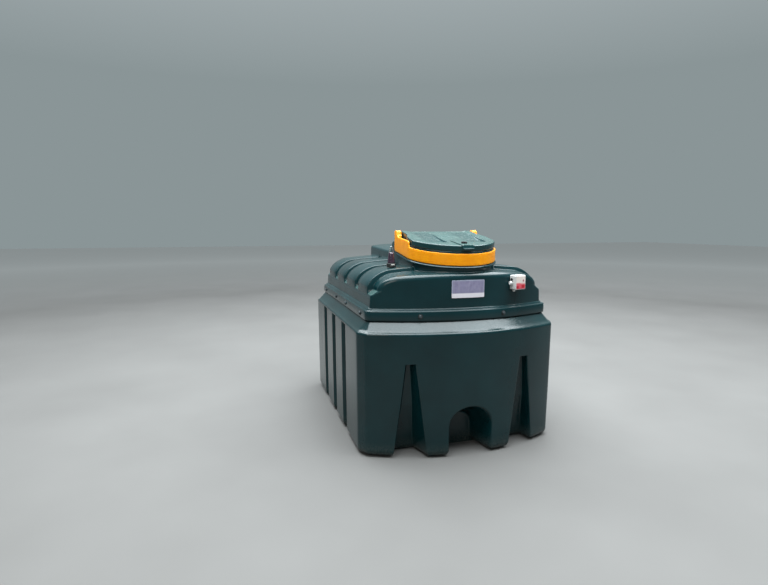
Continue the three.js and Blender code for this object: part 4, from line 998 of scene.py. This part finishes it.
def latch_grid():
    """The plate as a flat ring between its slot and its border, drawn on (x, distance from the rear). Past
    the lid's edge the distance wraps round a quarter circle and then runs straight down."""
    reach = LID_RADIUS + LATCH_REAR + LID_GAP
    length = reach + LATCH_BEND * math.pi / 2 + LATCH_DROP
    slot_at = -SLOT_MIDDLE + LATCH_REAR
    soft = superellipse(120, 8)
    slot = soft * [SLOT_WIDE_HALF, SLOT_LONG / 2] + [0, slot_at]
    down = np.clip(soft[:, 1], -1, 1)
    border_v = np.where(down < 0, slot_at * (1 + down), slot_at + (length - slot_at) * down)
    flare = 5 * (1 - border_v / length) ** 2 + 5 * np.clip((border_v - reach) / (length - reach), 0, 1) ** 2
    border = np.stack([soft[:, 0] * (LATCH_HALF + flare), border_v], -1)
    top = LATCH_THICK
    profile = [(0, top - 1), (0.01, top - 0.3), (0.03, top), (0.15, top + 0.8), (0.3, top + 0.8)]
    profile += [(share, top) for share in (0.4, 0.5, 0.6, 0.7, 0.8, 0.9, 0.96)]
    profile += [(0.985, top - 0.3), (1, top - 1.2), (1, 0.8)]
    profile += [(share, 0) for share in (0.99, 0.75, 0.5, 0.25, 0.02)]
    rows = []
    for share, height in profile:
        flat = slot + (border - slot) * share
        v = flat[:, 1]
        bend = np.clip((v - reach) / LATCH_BEND, 0, math.pi / 2)
        straight = np.clip(v - reach - LATCH_BEND * math.pi / 2, 0, None)
        grip = LATCH_GRIP * np.clip(straight / LATCH_DROP, 0, 1) ** 2
        out = np.minimum(v, reach) + height * np.sin(bend) + grip
        z = LID_THICK + LID_GAP + height * np.cos(bend) - straight - LATCH_BEND * (1 - np.cos(bend)) * 0.5
        rows.append(np.stack([flat[:, 0], LATCH_REAR - out, z], -1))
    return on_lid(np.stack(rows))


latch = skin("lid_latch_plate", latch_grid(), lid_green, ring=True, sharp=45)
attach(latch, "lid")
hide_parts("lid_latch")

# Black nylon: matt, with a fine moulded grain.
catch_nylon, tree, shader = new_material("moulded_black_nylon_of_the_catch")
fill(
    shader,
    Base_Color=add_node(tree, "ValToRGB", patches(tree, 6, 4), stops=((0.3, "#0a0b0d"), (0.7, "#131517"))),
    Roughness=add_node(tree, "MapRange", patches(tree, 3, 3), 0.3, 0.7, 0.5, 0.7),
    Specular_IOR_Level=0.25,
)

catch_loop = superellipse(48, 5)
catch_profile = (
    (1, 0.4), (0, 1.2), (0, 11.5), (0.4, 12.8), (1.5, 13.7), (3, 14), (5.5, 14), (6.3, 13.2), (6.8, 11.5),
)
catch_rows = []
for inset, z in catch_profile:
    catch_flat = catch_loop * [15.5 - inset, 10.5 - inset] + [0, SLOT_MIDDLE]
    catch_rows.append(np.column_stack([catch_flat, np.full(len(catch_loop), LID_THICK + z)]))
catch = skin("lid_latch_catch", on_lid(np.stack(catch_rows)), catch_nylon)
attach(catch, "lid")
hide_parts("lid_latch")

# Level gauge on the first hoop. A ribbed black nylon base is screwed into the roof and has a plain white
# label. On it stands a smoked acrylic dome over the red float, with a loop of bent wire on top.

GAUGE_X, GAUGE_Y, GAUGE_RIBS = -362, -513, 24


def unit(vector):
    """The vector at length one."""
    return np.asarray(vector, float) / np.linalg.norm(vector)


def turned(profile, centre, way, side, columns=48, shape=1.0):
    """Circles about the line from centre along way, one for each (radius, height) of the profile, starting
    at the direction side. shape multiplies the radius, by column or by row and column."""
    profile = np.asarray(profile, float)
    way = unit(way)
    side = unit(side - way * np.dot(side, way))
    angle = np.linspace(0, 2 * math.pi, columns + 1)[:-1]
    circle = np.cos(angle)[:, None] * side + np.sin(angle)[:, None] * np.cross(way, side)
    radius = profile[:, :1] * (np.ones(columns) * shape)
    return np.asarray(centre) + profile[:, 1, None, None] * way + radius[..., None] * circle


def tube(path, radius, across, columns=14):
    """A round wire along path[point, 3]: circles in the planes that the unit vector across and the path's
    own normal span."""
    way = np.gradient(path, axis=0)
    way /= np.linalg.norm(way, axis=1)[:, None]
    normal = np.cross(way, across)
    angle = np.linspace(0, 2 * math.pi, columns + 1)[:-1]
    along_normal, along_across = np.cos(angle)[None, :, None], np.sin(angle)[None, :, None]
    return path[:, None] + radius * (along_normal * normal[:, None] + along_across * np.asarray(across))


gauge_low, gauge_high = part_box("gauge_base")
gauge_base_z = gauge_low[2] * 1000
gauge_dome_z = gauge_high[2] * 1000 + 0.3
gauge_foot, gauge_seat = (GAUGE_X, GAUGE_Y, gauge_base_z), (GAUGE_X, GAUGE_Y, gauge_dome_z)
up, right = np.array([0, 0, 1.0]), np.array([1.0, 0, 0])

# Nylon: even black with a fine grain, and a soft sheen on its edges.
base_nylon, tree, shader = new_material("moulded_black_nylon_of_the_gauge")
grain = patches(tree, 5, 4)
fill(
    shader,
    Base_Color=add_node(tree, "ValToRGB", grain, stops=((0.3, "#121314"), (0.7, "#1d1f20"))),
    Roughness=add_node(tree, "MapRange", grain, 0.3, 0.7, 0.38, 0.55),
    Normal=add_node(tree, "Bump", Strength=0.2, Distance=0.0003, Height=patches(tree, 1.2)),
)

base_profile = [
    (25.4, 0), (26.6, 0.4), (27, 1.4), (27, 6), (26.6, 7), (25.4, 7.4), (24.4, 7.6), (24.4, 8.6),
    (25.2, 8.8), (25.9, 9.4), (26, 10.4), (26, 19.4), (25.7, 20.6), (24.8, 21.8), (23.4, 22.6),
    (22.8, 22.8), (12, 23),
]
rib_columns = GAUGE_RIBS * 8
rib_angle = np.linspace(0, 2 * math.pi, rib_columns + 1)[:-1]
rib = -0.035 * np.clip(np.cos(rib_angle * GAUGE_RIBS), -0.3, 1)
rib_share = np.array([0] * 8 + [0.4, 0.9, 1, 1, 1, 0.8, 0.3, 0, 0])[:, None]
base_grid = turned(base_profile, gauge_foot, up, right, rib_columns, 1 + rib * rib_share)
base = skin("gauge_base_ribbed", base_grid, base_nylon)
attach(base, "tank")
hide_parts("gauge_base")

# White vinyl: matt, slightly yellowed, with a little dirt in patches.
label_vinyl, tree, shader = new_material("white_vinyl_label")
vinyl_colour = add_node(tree, "ValToRGB", patches(tree, 6, 4), stops=((0.35, "#c9c7c2"), (0.65, "#e4e3df")))
fill(shader, Base_Color=vinyl_colour, Roughness=0.5)

label_angle = np.radians(np.linspace(-108, -56, 21))
label_z = gauge_base_z + np.array([12.0, 18.0])
label_sheets = []
for radius in (26.5, 25.9):
    ring = np.stack([GAUGE_X + radius * np.cos(label_angle), GAUGE_Y + radius * np.sin(label_angle)], -1)
    label_sheets.append(np.dstack([np.stack([ring, ring]), np.repeat(label_z[:, None], len(ring), axis=1)]))
gauge_label = plate("gauge_label", *label_sheets, label_vinyl)
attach(gauge_label, "tank")
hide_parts("gauge_base")

# Smoked acrylic: dark wine red and clear enough to show the float, with a sharp gloss.
dome_acrylic, tree, shader = new_material("smoked_acrylic")
fill(
    shader,
    Base_Color=add_node(tree, "ValToRGB", patches(tree, 18), stops=((0.3, "#3d2d3d"), (0.7, "#4f3c4c"))),
    Roughness=add_node(tree, "MapRange", patches(tree, 9, 3), 0.3, 0.7, 0.08, 0.2),
    IOR=1.49,
    Transmission_Weight=0.45,
)

dome_profile = [
    (0.6, 62), (4, 62), (8, 61.5), (11.5, 59.8), (14, 57), (15.6, 53.5), (16.2, 50), (18.4, 33),
    (20.2, 18.5), (21.6, 6), (22, 3), (22, 0.8), (21.4, 0), (20.4, 0), (19.6, 0.6), (19.4, 3), (19.2, 5),
    (17.8, 18), (16, 33), (13.8, 50), (12.6, 53.4), (10.6, 56.6), (7.6, 58.8), (4, 59.5), (0.6, 59.5),
]
gauge_cap = skin("gauge_dome_smoked", turned(dome_profile, gauge_seat, up, right, 64), dome_acrylic)
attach(gauge_cap, "tank")
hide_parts("gauge_dome")

# Polypropylene float: signal red, satin.
float_red, tree, shader = new_material("red_polypropylene")
float_colour = add_node(tree, "ValToRGB", patches(tree, 8, 3), stops=((0.3, "#b02420"), (0.7, "#c8332c")))
fill(shader, Base_Color=float_colour, Roughness=0.4)

float_profile = [
    (1.6, 0), (2, 0.4), (2, 12.6), (7.6, 13), (8.8, 13.8), (9, 15), (9, 24), (8.2, 25), (8.2, 27),
    (9, 28), (9, 44), (8.7, 45.2), (7.6, 46), (1, 46.2),
]
gauge_float = skin("gauge_float_grooved", turned(float_profile, gauge_seat, up, right, 32), float_red)
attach(gauge_float, "tank")
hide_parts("gauge_float")

# Zinc-plated steel: pale grey metal whose gloss is broken by a dull bloom of a few millimetres.
zinc_steel, tree, shader = new_material("zinc_plated_steel")
bloom = patches(tree, 5, 4)
fill(
    shader,
    Base_Color=add_node(tree, "ValToRGB", bloom, stops=((0.35, "#9b9fa4"), (0.65, "#c6c9cc"))),
    Roughness=add_node(tree, "MapRange", bloom, 0.3, 0.7, 0.3, 0.55),
    Metallic=1.0,
)

WIRE_RADIUS, LOOP_RADIUS = 1.6, 6.3
loop_foot = np.array([GAUGE_X, gauge_dome_z + 58.6])
leg = quadratic((-12, 0), (-11.6, 14), (-6.4, 30), np.linspace(0, 1, 14))[:-1]
crown_angle = np.radians(np.linspace(160, 20, 19))
crown = LOOP_RADIUS * np.stack([np.cos(crown_angle), np.sin(crown_angle)], -1) + [0, 31.5]
loop_path = np.concatenate([leg, crown, (leg * [-1, 1])[::-1]]) + loop_foot
loop_path = np.insert(loop_path, 1, GAUGE_Y, axis=1)
wire = skin("gauge_loop_wire", tube(loop_path, WIRE_RADIUS, (0, 1, 0)), zinc_steel)
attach(wire, "tank")
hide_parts("gauge_loop")

# Sign on the fill end. A bent sheet of printed PVC with rounded corners, glued to the dome: a mauve field
# in a paler border over a near-white strip, with nothing written on it.

SIGN_HALF, SIGN_LOW_Z, SIGN_HIGH_Z, SIGN_THICK, SIGN_CORNER = 98, 884, 982, 2.4, 4
SIGN_BORDER, SIGN_STRIP_Z = 4.8, 909


def dome_face(x):
    """Where the dome's end face lies at x: its bow is a parabola."""
    return DOME_BOW * (x / DOME_HALF_WIDTH) ** 2 - DOME_HALF_LENGTH


def rounded_rectangle(half_x, half_z, corner, along_x=24, along_z=12):
    """The points (x, z) round a rectangle with round corners, counterclockwise from the lower left."""
    turn = np.linspace(0, math.pi / 2, 7)
    arc = corner * np.stack([np.sin(turn), 1 - np.cos(turn)], -1)
    x = np.linspace(corner - half_x, half_x - corner, along_x)[:-1]
    z = np.linspace(corner - half_z, half_z - corner, along_z)[1:-1]
    low = np.stack([x, 0 * x - half_z], -1)
    right = np.stack([0 * z + half_x, z], -1)
    return np.concatenate([
        low, arc + [half_x - corner, -half_z],
        right, (arc * [1, -1])[::-1] + [half_x - corner, half_z],
        (low * [1, -1])[:0:-1], arc * [-1, -1] + [corner - half_x, half_z],
        (right * [-1, 1])[::-1], (arc * [-1, 1])[:0:-1] + [corner - half_x, -half_z],
    ])


def sign_grid():
    """Loops from the middle of the sign's back out to its edge, round it, and in again over its front, each
    point set off the dome's face."""
    middle_z, half_z = (SIGN_LOW_Z + SIGN_HIGH_Z) / 2, (SIGN_HIGH_Z - SIGN_LOW_Z) / 2
    edge = rounded_rectangle(SIGN_HALF, half_z, SIGN_CORNER)
    profile = [(share, 0.3) for share in (0.02, 0.3, 0.6, 0.85, 0.992)] + [(0.999, 0.6), (1, 1.2)]
    profile += [(1, SIGN_THICK - 0.7), (0.998, SIGN_THICK - 0.2)]
    profile += [(share, SIGN_THICK) for share in (0.994, 0.985, 0.9, 0.75, 0.6, 0.45, 0.3, 0.15, 0.02)]
    rows = []
    for share, proud in profile:
        x, z = (edge * share).T
        rows.append(np.column_stack([x, dome_face(x) - proud, z + middle_z]))
    return np.stack(rows)


# Printed PVC: satin, the ink a little uneven, and streaked by rain.
sign_print, tree, shader = new_material("printed_pvc_sheet")
place = add_node(tree, "TexCoord", output="Object")
from_middle = add_node(tree, "Math", add_node(tree, "SeparateXYZ", place, output="X"), operation="ABSOLUTE")
print_z = add_node(tree, "SeparateXYZ", place, output="Z")
border_x, border_z = (SIGN_HALF - SIGN_BORDER) / 1000, (SIGN_HIGH_Z - SIGN_BORDER) / 1000
beside = add_node(tree, "MapRange", from_middle, border_x - 0.0007, border_x, 0.0, 1.0)
above = add_node(tree, "MapRange", print_z, border_z, border_z + 0.0007, 0.0, 1.0)
border = add_node(tree, "Math", beside, above, operation="MAXIMUM")
strip_z = SIGN_STRIP_Z / 1000
strip = add_node(tree, "MapRange", print_z, strip_z + 0.0005, strip_z - 0.0005, 0.0, 1.0)
rain = add_node(tree, "MapRange", patches(tree, 9, 4, taller=9), 0.5, 0.75, 0.0, 0.16)
uneven = patches(tree, 22, 4)
printed = add_node(tree, "ValToRGB", uneven, stops=((0.3, "#75718b"), (0.7, "#84809a")))
for share, colour in ((border, "#9195a9"), (strip, "#d2cdd3"), (rain, "#b9b6bd")):
    printed = add_node(tree, "Mix", share, printed, linear(colour), data_type="RGBA")
fill(shader, Base_Color=printed, Roughness=add_node(tree, "MapRange", uneven, 0.3, 0.7, 0.3, 0.45))

sign = skin("sign_sheet", sign_grid(), sign_print)
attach(sign, "tank")
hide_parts("sign_plate")

# Overfill alarm beside the sign. A white ABS box in two halves, injection moulded and screwed to the dome,
# with a black test knob and a cable gland on its side, another gland below, and a bare label on its cover.

ALARM_X, ALARM_HALF, ALARM_DEPTH, ALARM_LOW_Z, ALARM_HIGH_Z = 310, 39, 48, 918, 1000
ALARM_SPLIT, ALARM_MIDDLE, ALARM_CORNER, ALARM_GAP = 34, 17, 6, 0.3
FILM_HALF_X, FILM_HALF_Z, FILM_CORNER = 34.5, 36.5, 3
alarm_turn = math.atan(2 * DOME_BOW * ALARM_X / DOME_HALF_WIDTH**2)
alarm_centre_z = (ALARM_LOW_Z + ALARM_HIGH_Z) / 2
alarm_half_z = (ALARM_HIGH_Z - ALARM_LOW_Z) / 2
alarm_across = np.array([math.cos(alarm_turn), math.sin(alarm_turn), 0])
alarm_out = np.array([math.sin(alarm_turn), -math.cos(alarm_turn), 0])


def on_alarm(across, out, z):
    """The place on the tank of a point of the alarm: across its face, out from the dome's face, and its
    height."""
    foot = np.array([ALARM_X, dome_face(ALARM_X), 0])
    ways = ((across, alarm_across), (out, alarm_out), (z, up))
    return foot + sum(np.multiply.outer(distance, way) for distance, way in ways)


def alarm_slab(levels, half_x, half_z, corner):
    """A slab of the alarm with round corners: one loop for each (distance out, inset)."""
    rows = []
    for out, inset in levels:
        sizes = half_x - inset, half_z - inset, max(corner - inset, 0.4)
        loop = rounded_rectangle(*sizes, along_x=8, along_z=8)
        rows.append(on_alarm(loop[:, 0], np.full(len(loop), float(out)), loop[:, 1] + alarm_centre_z))
    return np.stack(rows)


# ABS: white, satin, with the fine spark grain of its mould and grime in thin runs from the top.
alarm_abs, tree, shader = new_material("white_abs_fine_grain")
grime_stops = ((0.35, "#c6c6c5"), (0.6, "#bebebc"), (0.8, "#a9a8a4"))
fill(
    shader,
    Base_Color=add_node(tree, "ValToRGB", patches(tree, 14, 5, taller=6), stops=grime_stops),
    Roughness=add_node(tree, "MapRange", patches(tree, 6, 3), 0.3, 0.7, 0.35, 0.5),
    Normal=add_node(tree, "Bump", Strength=0.12, Distance=0.0002, Height=patches(tree, 0.9)),
)

housing_levels = [(ALARM_GAP, 30), (ALARM_GAP, 12)]
housing_levels += [(ALARM_GAP + 4 * gone, 4 * less) for gone, less in quarter(6)]
housing_rim = ((1.6, 0), (0.8, 0.3), (0.2, 1.1), (0.1, 12), (0.1, 30))
housing_levels += [(ALARM_SPLIT - behind, inset) for behind, inset in housing_rim]
cover_rim = ((0, 30), (0, 12), (0.1, 1.1), (0.7, 0.3), (1.5, 0))
cover_levels = [(ALARM_SPLIT + ahead, inset) for ahead, inset in cover_rim]
cover_levels += [(ALARM_DEPTH - 5 * gone, 5 * less) for gone, less in quarter(6)[::-1]]
cover_levels += [(ALARM_DEPTH, inset) for inset in (7, 16, 30)]
for name, node, levels in (
    ("alarm_housing_moulded", "alarm_housing", housing_levels),
    ("alarm_cover_moulded", "alarm_cover", cover_levels),
):
    half_box = skin(name, alarm_slab(levels, ALARM_HALF, alarm_half_z, ALARM_CORNER), alarm_abs)
    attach(half_box, "tank")
    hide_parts(node)

# Printed label film over the whole cover: pale above and salmon red below, with deep red patches, bare of
# words.
label_film, tree, shader = new_material("printed_label_film")
film_place = add_node(tree, "UVMap")
film_xy = [add_node(tree, "SeparateXYZ", film_place, output=axis) for axis in "XY"]
ragged = add_node(tree, "Math", patches(tree, 16, 3), 0.3, film_xy[1], operation="MULTIPLY_ADD")
inked = add_node(tree, "MapRange", ragged, 0.66, 0.5, 0.0, 1.0)
ink = add_node(tree, "ValToRGB", patches(tree, 7, 3), stops=((0.3, "#c8384c"), (0.7, "#d4626a")))
for middle, half, colour in (
    ((0.14, 0.14), (0.12, 0.1), "#a50c24"), ((0.76, 0.2), (0.16, 0.13), "#a80c20"),
    ((0.78, 0.64), (0.07, 0.08), "#7a2538"),
):
    sides = []
    for axis in (0, 1):
        off = add_node(tree, "Math", film_xy[axis], middle[axis], operation="SUBTRACT")
        off = add_node(tree, "Math", off, operation="ABSOLUTE")
        sides.append(add_node(tree, "MapRange", off, half[axis] + 0.025, half[axis] - 0.025, 0.0, 1.0))
    patch = add_node(tree, "Math", *sides, operation="MULTIPLY")
    inked = add_node(tree, "Math", inked, patch, operation="MAXIMUM")
    ink = add_node(tree, "Mix", patch, ink, linear(colour), data_type="RGBA")
pale = add_node(tree, "ValToRGB", patches(tree, 9, 3), stops=((0.3, "#d3c4bb"), (0.7, "#dbd2cc")))
fill(shader, Base_Color=add_node(tree, "Mix", inked, pale, ink, data_type="RGBA"), Roughness=0.32)

film_profile = ((0.05, 20), (0.05, 0.3), (0.15, 0), (0.35, 0), (0.45, 0.2), (0.45, 6), (0.45, 14), (0.45, 20))
film_levels = [(ALARM_DEPTH + proud, inset) for proud, inset in film_profile]
film = skin("alarm_label", alarm_slab(film_levels, FILM_HALF_X, FILM_HALF_Z, FILM_CORNER), label_film)
film_points = np.zeros(len(film.data.vertices) * 3)
film.data.vertices.foreach_get("co", film_points)
from_foot = film_points.reshape(-1, 3) * 1000 - on_alarm(0.0, 0.0, alarm_centre_z)
film_x, film_z = from_foot @ alarm_across / (2 * FILM_HALF_X), from_foot[:, 2] / (2 * FILM_HALF_Z)
film_uv = np.stack([film_x, film_z], -1) + 0.5
film_corners = np.zeros(len(film.data.loops), int)
film.data.loops.foreach_get("vertex_index", film_corners)
film.data.uv_layers.new(name="UVMap").data.foreach_set("uv", film_uv[film_corners].ravel())
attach(film, "tank")
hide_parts("alarm_cover")

fitting_angle = np.linspace(0, 2 * math.pi, 97)[:-1]
knob_ribs = 1 - 0.05 * np.clip(np.cos(fitting_angle * 12), -0.2, 1)
knob_profile = [(7.2, 0), (8, 0.5), (8, 1.4), (7.6, 1.8), (7.8, 2.2), (7.8, 4), (7.3, 4.7), (6.4, 5), (3, 5)]
gland_profile = [
    (7.4, 0), (8, 0.4), (8, 3.6), (7.6, 4.2), (6.8, 4.4), (6.8, 5), (7.4, 5.4), (7.6, 6.4), (7.4, 9),
    (6.6, 10.8), (5.4, 11.8), (4.2, 12), (3.4, 11.4), (3.2, 10.6),
]
long_gland_profile = np.array(gland_profile) * [1.3, 1.5]


def hexagon(angle):
    """A regular hexagon of unit half width over its flats, as its radius at each angle."""
    return 1 / np.cos((angle + math.pi / 6) % (math.pi / 3) - math.pi / 6)


gland_shape = 1 + (hexagon(fitting_angle) * 0.93 - 1) * np.array([1, 1, 1, 0.8] + [0] * 10)[:, None]
beside_box, below_box = -ALARM_HALF - ALARM_GAP, ALARM_LOW_Z - ALARM_GAP
for name, node, slot, material, profile, shape, x, z, way in (
    ("alarm_knob_ribbed", "alarm_test_knob", "black_plastic", base_nylon, knob_profile, knob_ribs,
     beside_box, 976, -alarm_across),
    ("alarm_gland_side", "alarm_side_gland", "white_plastic", alarm_abs, long_gland_profile, gland_shape,
     beside_box, 955, -alarm_across),
    ("alarm_gland_below", "alarm_bottom_gland", "white_plastic", alarm_abs, gland_profile, gland_shape,
     -22, below_box, -up),
):
    fitting = skin(name, turned(profile, on_alarm(x, ALARM_MIDDLE, z), way, alarm_out, 96, shape), material)
    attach(fitting, "tank")
    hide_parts(node)

# Skirt bolts. Twelve zinc-plated hexagon bolts on round black washers hold the inner tank's skirt to the
# bund's lip, two at each end and four on each side.

BOLT_Z = 789
END_BOLT_X = (-277, 219)
SIDE_BOLT_Y = (-560, -160, 160, 560)
BOLT_COLUMNS = 48

# Weathered zinc plate: dull grey, its gloss gone but for small patches.
bolt_zinc, tree, shader = new_material("weathered_zinc_plate")
bloom = patches(tree, 4, 5)
fill(
    shader,
    Base_Color=add_node(tree, "ValToRGB", bloom, stops=((0.35, "#3d4447"), (0.65, "#626a6e"))),
    Roughness=add_node(tree, "MapRange", bloom, 0.3, 0.7, 0.42, 0.7),
    Metallic=0.85,
)

washer_profile = [(8, 0.3), (13.2, 0.3), (14, 0.7), (14, 1.5), (13.6, 2), (11, 2.05), (8, 2.05)]
head_profile = [(5, 2.1), (8.6, 2.1), (9, 2.4), (9.2, 6.4), (8.7, 7.2), (8, 7.8), (7.2, 8), (3, 8)]
bolt_hexagon = hexagon(np.linspace(0, 2 * math.pi, BOLT_COLUMNS + 1)[:-1]) * 0.866
head_shape = np.ones((len(head_profile), BOLT_COLUMNS))
head_shape[1:6] = np.minimum(bolt_hexagon * np.array([[1.04], [1.04], [1.04], [1.03], [1.02]]), 1)


def bolt(name, x, y, heading):
    """One bolt that stands on the skirt at (x, y) and points along heading: its washer and its head."""
    way = (math.cos(heading), math.sin(heading), 0)
    seat = (x, y, BOLT_Z)
    washer = skin(name + "_washer", turned(washer_profile, seat, way, up, BOLT_COLUMNS), base_nylon)
    head_grid = turned(head_profile, seat, way, up, BOLT_COLUMNS, head_shape)
    head = skin(name + "_hexagon", head_grid, bolt_zinc, sharp=35)
    for made, slot in ((washer, "black_plastic"), (head, "zinc_steel")):
        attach(made, "tank")
        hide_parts(name)


end_half = SKIRT_PLAN["half_width"] - SKIRT_PLAN["facet"][0]
for number, x in enumerate(END_BOLT_X, 1):
    y = SKIRT_PLAN["bow"] * (x / end_half) ** 2 - SKIRT_PLAN["half_length"]
    heading = math.atan2(-1, 2 * SKIRT_PLAN["bow"] * x / end_half**2)
    bolt(f"front_bolt_{number}", x, y, heading)
    bolt(f"rear_bolt_{number}", -x, -y, heading + math.pi)
for number, y in enumerate(SIDE_BOLT_Y, 1):
    bolt(f"left_bolt_{number}", -SKIRT_PLAN["half_width"], y, math.pi)
    bolt(f"right_bolt_{number}", SKIRT_PLAN["half_width"], y, 0.0)

# The studio: a plain pale floor, one large soft light overhead, a small weak one in front on the left, and
# the camera at the height and angle of the photograph. Its sizes are in metres.

FLOOR_HALF = 30

# Painted concrete: matt, a little uneven, and paler from 7 m out.
floor_material, tree, shader = new_material("pale_studio_floor")
near_floor = add_node(tree, "ValToRGB", patches(tree, 900, 3), stops=((0.3, "#5d5c5a"), (0.7, "#636260")))
away = add_node(tree, "VectorMath", add_node(tree, "TexCoord", output="Object"), operation="LENGTH")
far_share = add_node(tree, "MapRange", away, 7.0, 16.0, 0.0, 1.0)
floor_colour = add_node(tree, "Mix", far_share, near_floor, linear("#b4b5b3"), data_type="RGBA")
fill(shader, Base_Color=floor_colour, Roughness=0.85)

floor_mesh = bpy.data.meshes.new("floor")
floor_corners = [(x * FLOOR_HALF, y * FLOOR_HALF, 0) for x, y in ((-1, -1), (1, -1), (1, 1), (-1, 1))]
floor_mesh.from_pydata(floor_corners, [], [(0, 1, 2, 3)])
floor_mesh.materials.append(floor_material)
floor = bpy.data.objects.new("floor", floor_mesh)
bpy.context.scene.collection.objects.link(floor)

world = bpy.data.worlds.new("studio")
bpy.context.scene.world = world
world.use_nodes = True
tree = world.node_tree
way = add_node(tree, "TexCoord", output="Generated")
behind = add_node(tree, "MapRange", add_node(tree, "SeparateXYZ", way, output="Y"), -0.25, 0.35, 0.0, 1.0)
above = add_node(tree, "MapRange", add_node(tree, "SeparateXYZ", way, output="Z"), 0.25, 0.9, 0.0, 1.0)
low_sky = add_node(tree, "Mix", behind, linear("#707b7d"), linear("#8a9597"), data_type="RGBA")
sky = add_node(tree, "Mix", above, low_sky, linear("#d4dce0"), data_type="RGBA")
fill(tree.nodes["Background"], Color=sky, Strength=1.0)


def soft_light(name, place, aim, size, power, colour):
    """A rectangular area light at place that faces aim; size is its width and its depth."""
    data = bpy.data.lights.new(name, "AREA")
    data.shape = "RECTANGLE"
    data.size, data.size_y = size
    data.energy = power
    data.color = linear(colour)[:3]
    light = bpy.data.objects.new(name, data)
    light.location = place
    light.rotation_euler = (Vector(aim) - Vector(place)).to_track_quat("-Z", "Y").to_euler()
    bpy.context.scene.collection.objects.link(light)


soft_light("overhead", (0.6, 0.4, 6.0), (0.6, 0.4, 0), (9.0, 9.0), 2500, "#f4fbff")
soft_light("front_fill", (-3.5, -5.0, 3.2), (0, 0, 0.6), (2.0, 2.0), 40, "#fff6ea")

camera_data = bpy.data.cameras.new("camera")
camera_data.sensor_width = 36
camera_data.lens = 24.09
camera = bpy.data.objects.new("camera", camera_data)
camera.location = (-1.229, -3.367, 1.2785)
camera.rotation_euler = (math.radians(90 - 7.40), 0, math.radians(-16.1))
bpy.context.scene.collection.objects.link(camera)
bpy.context.scene.camera = camera
bpy.context.scene.view_settings.view_transform = "Standard"
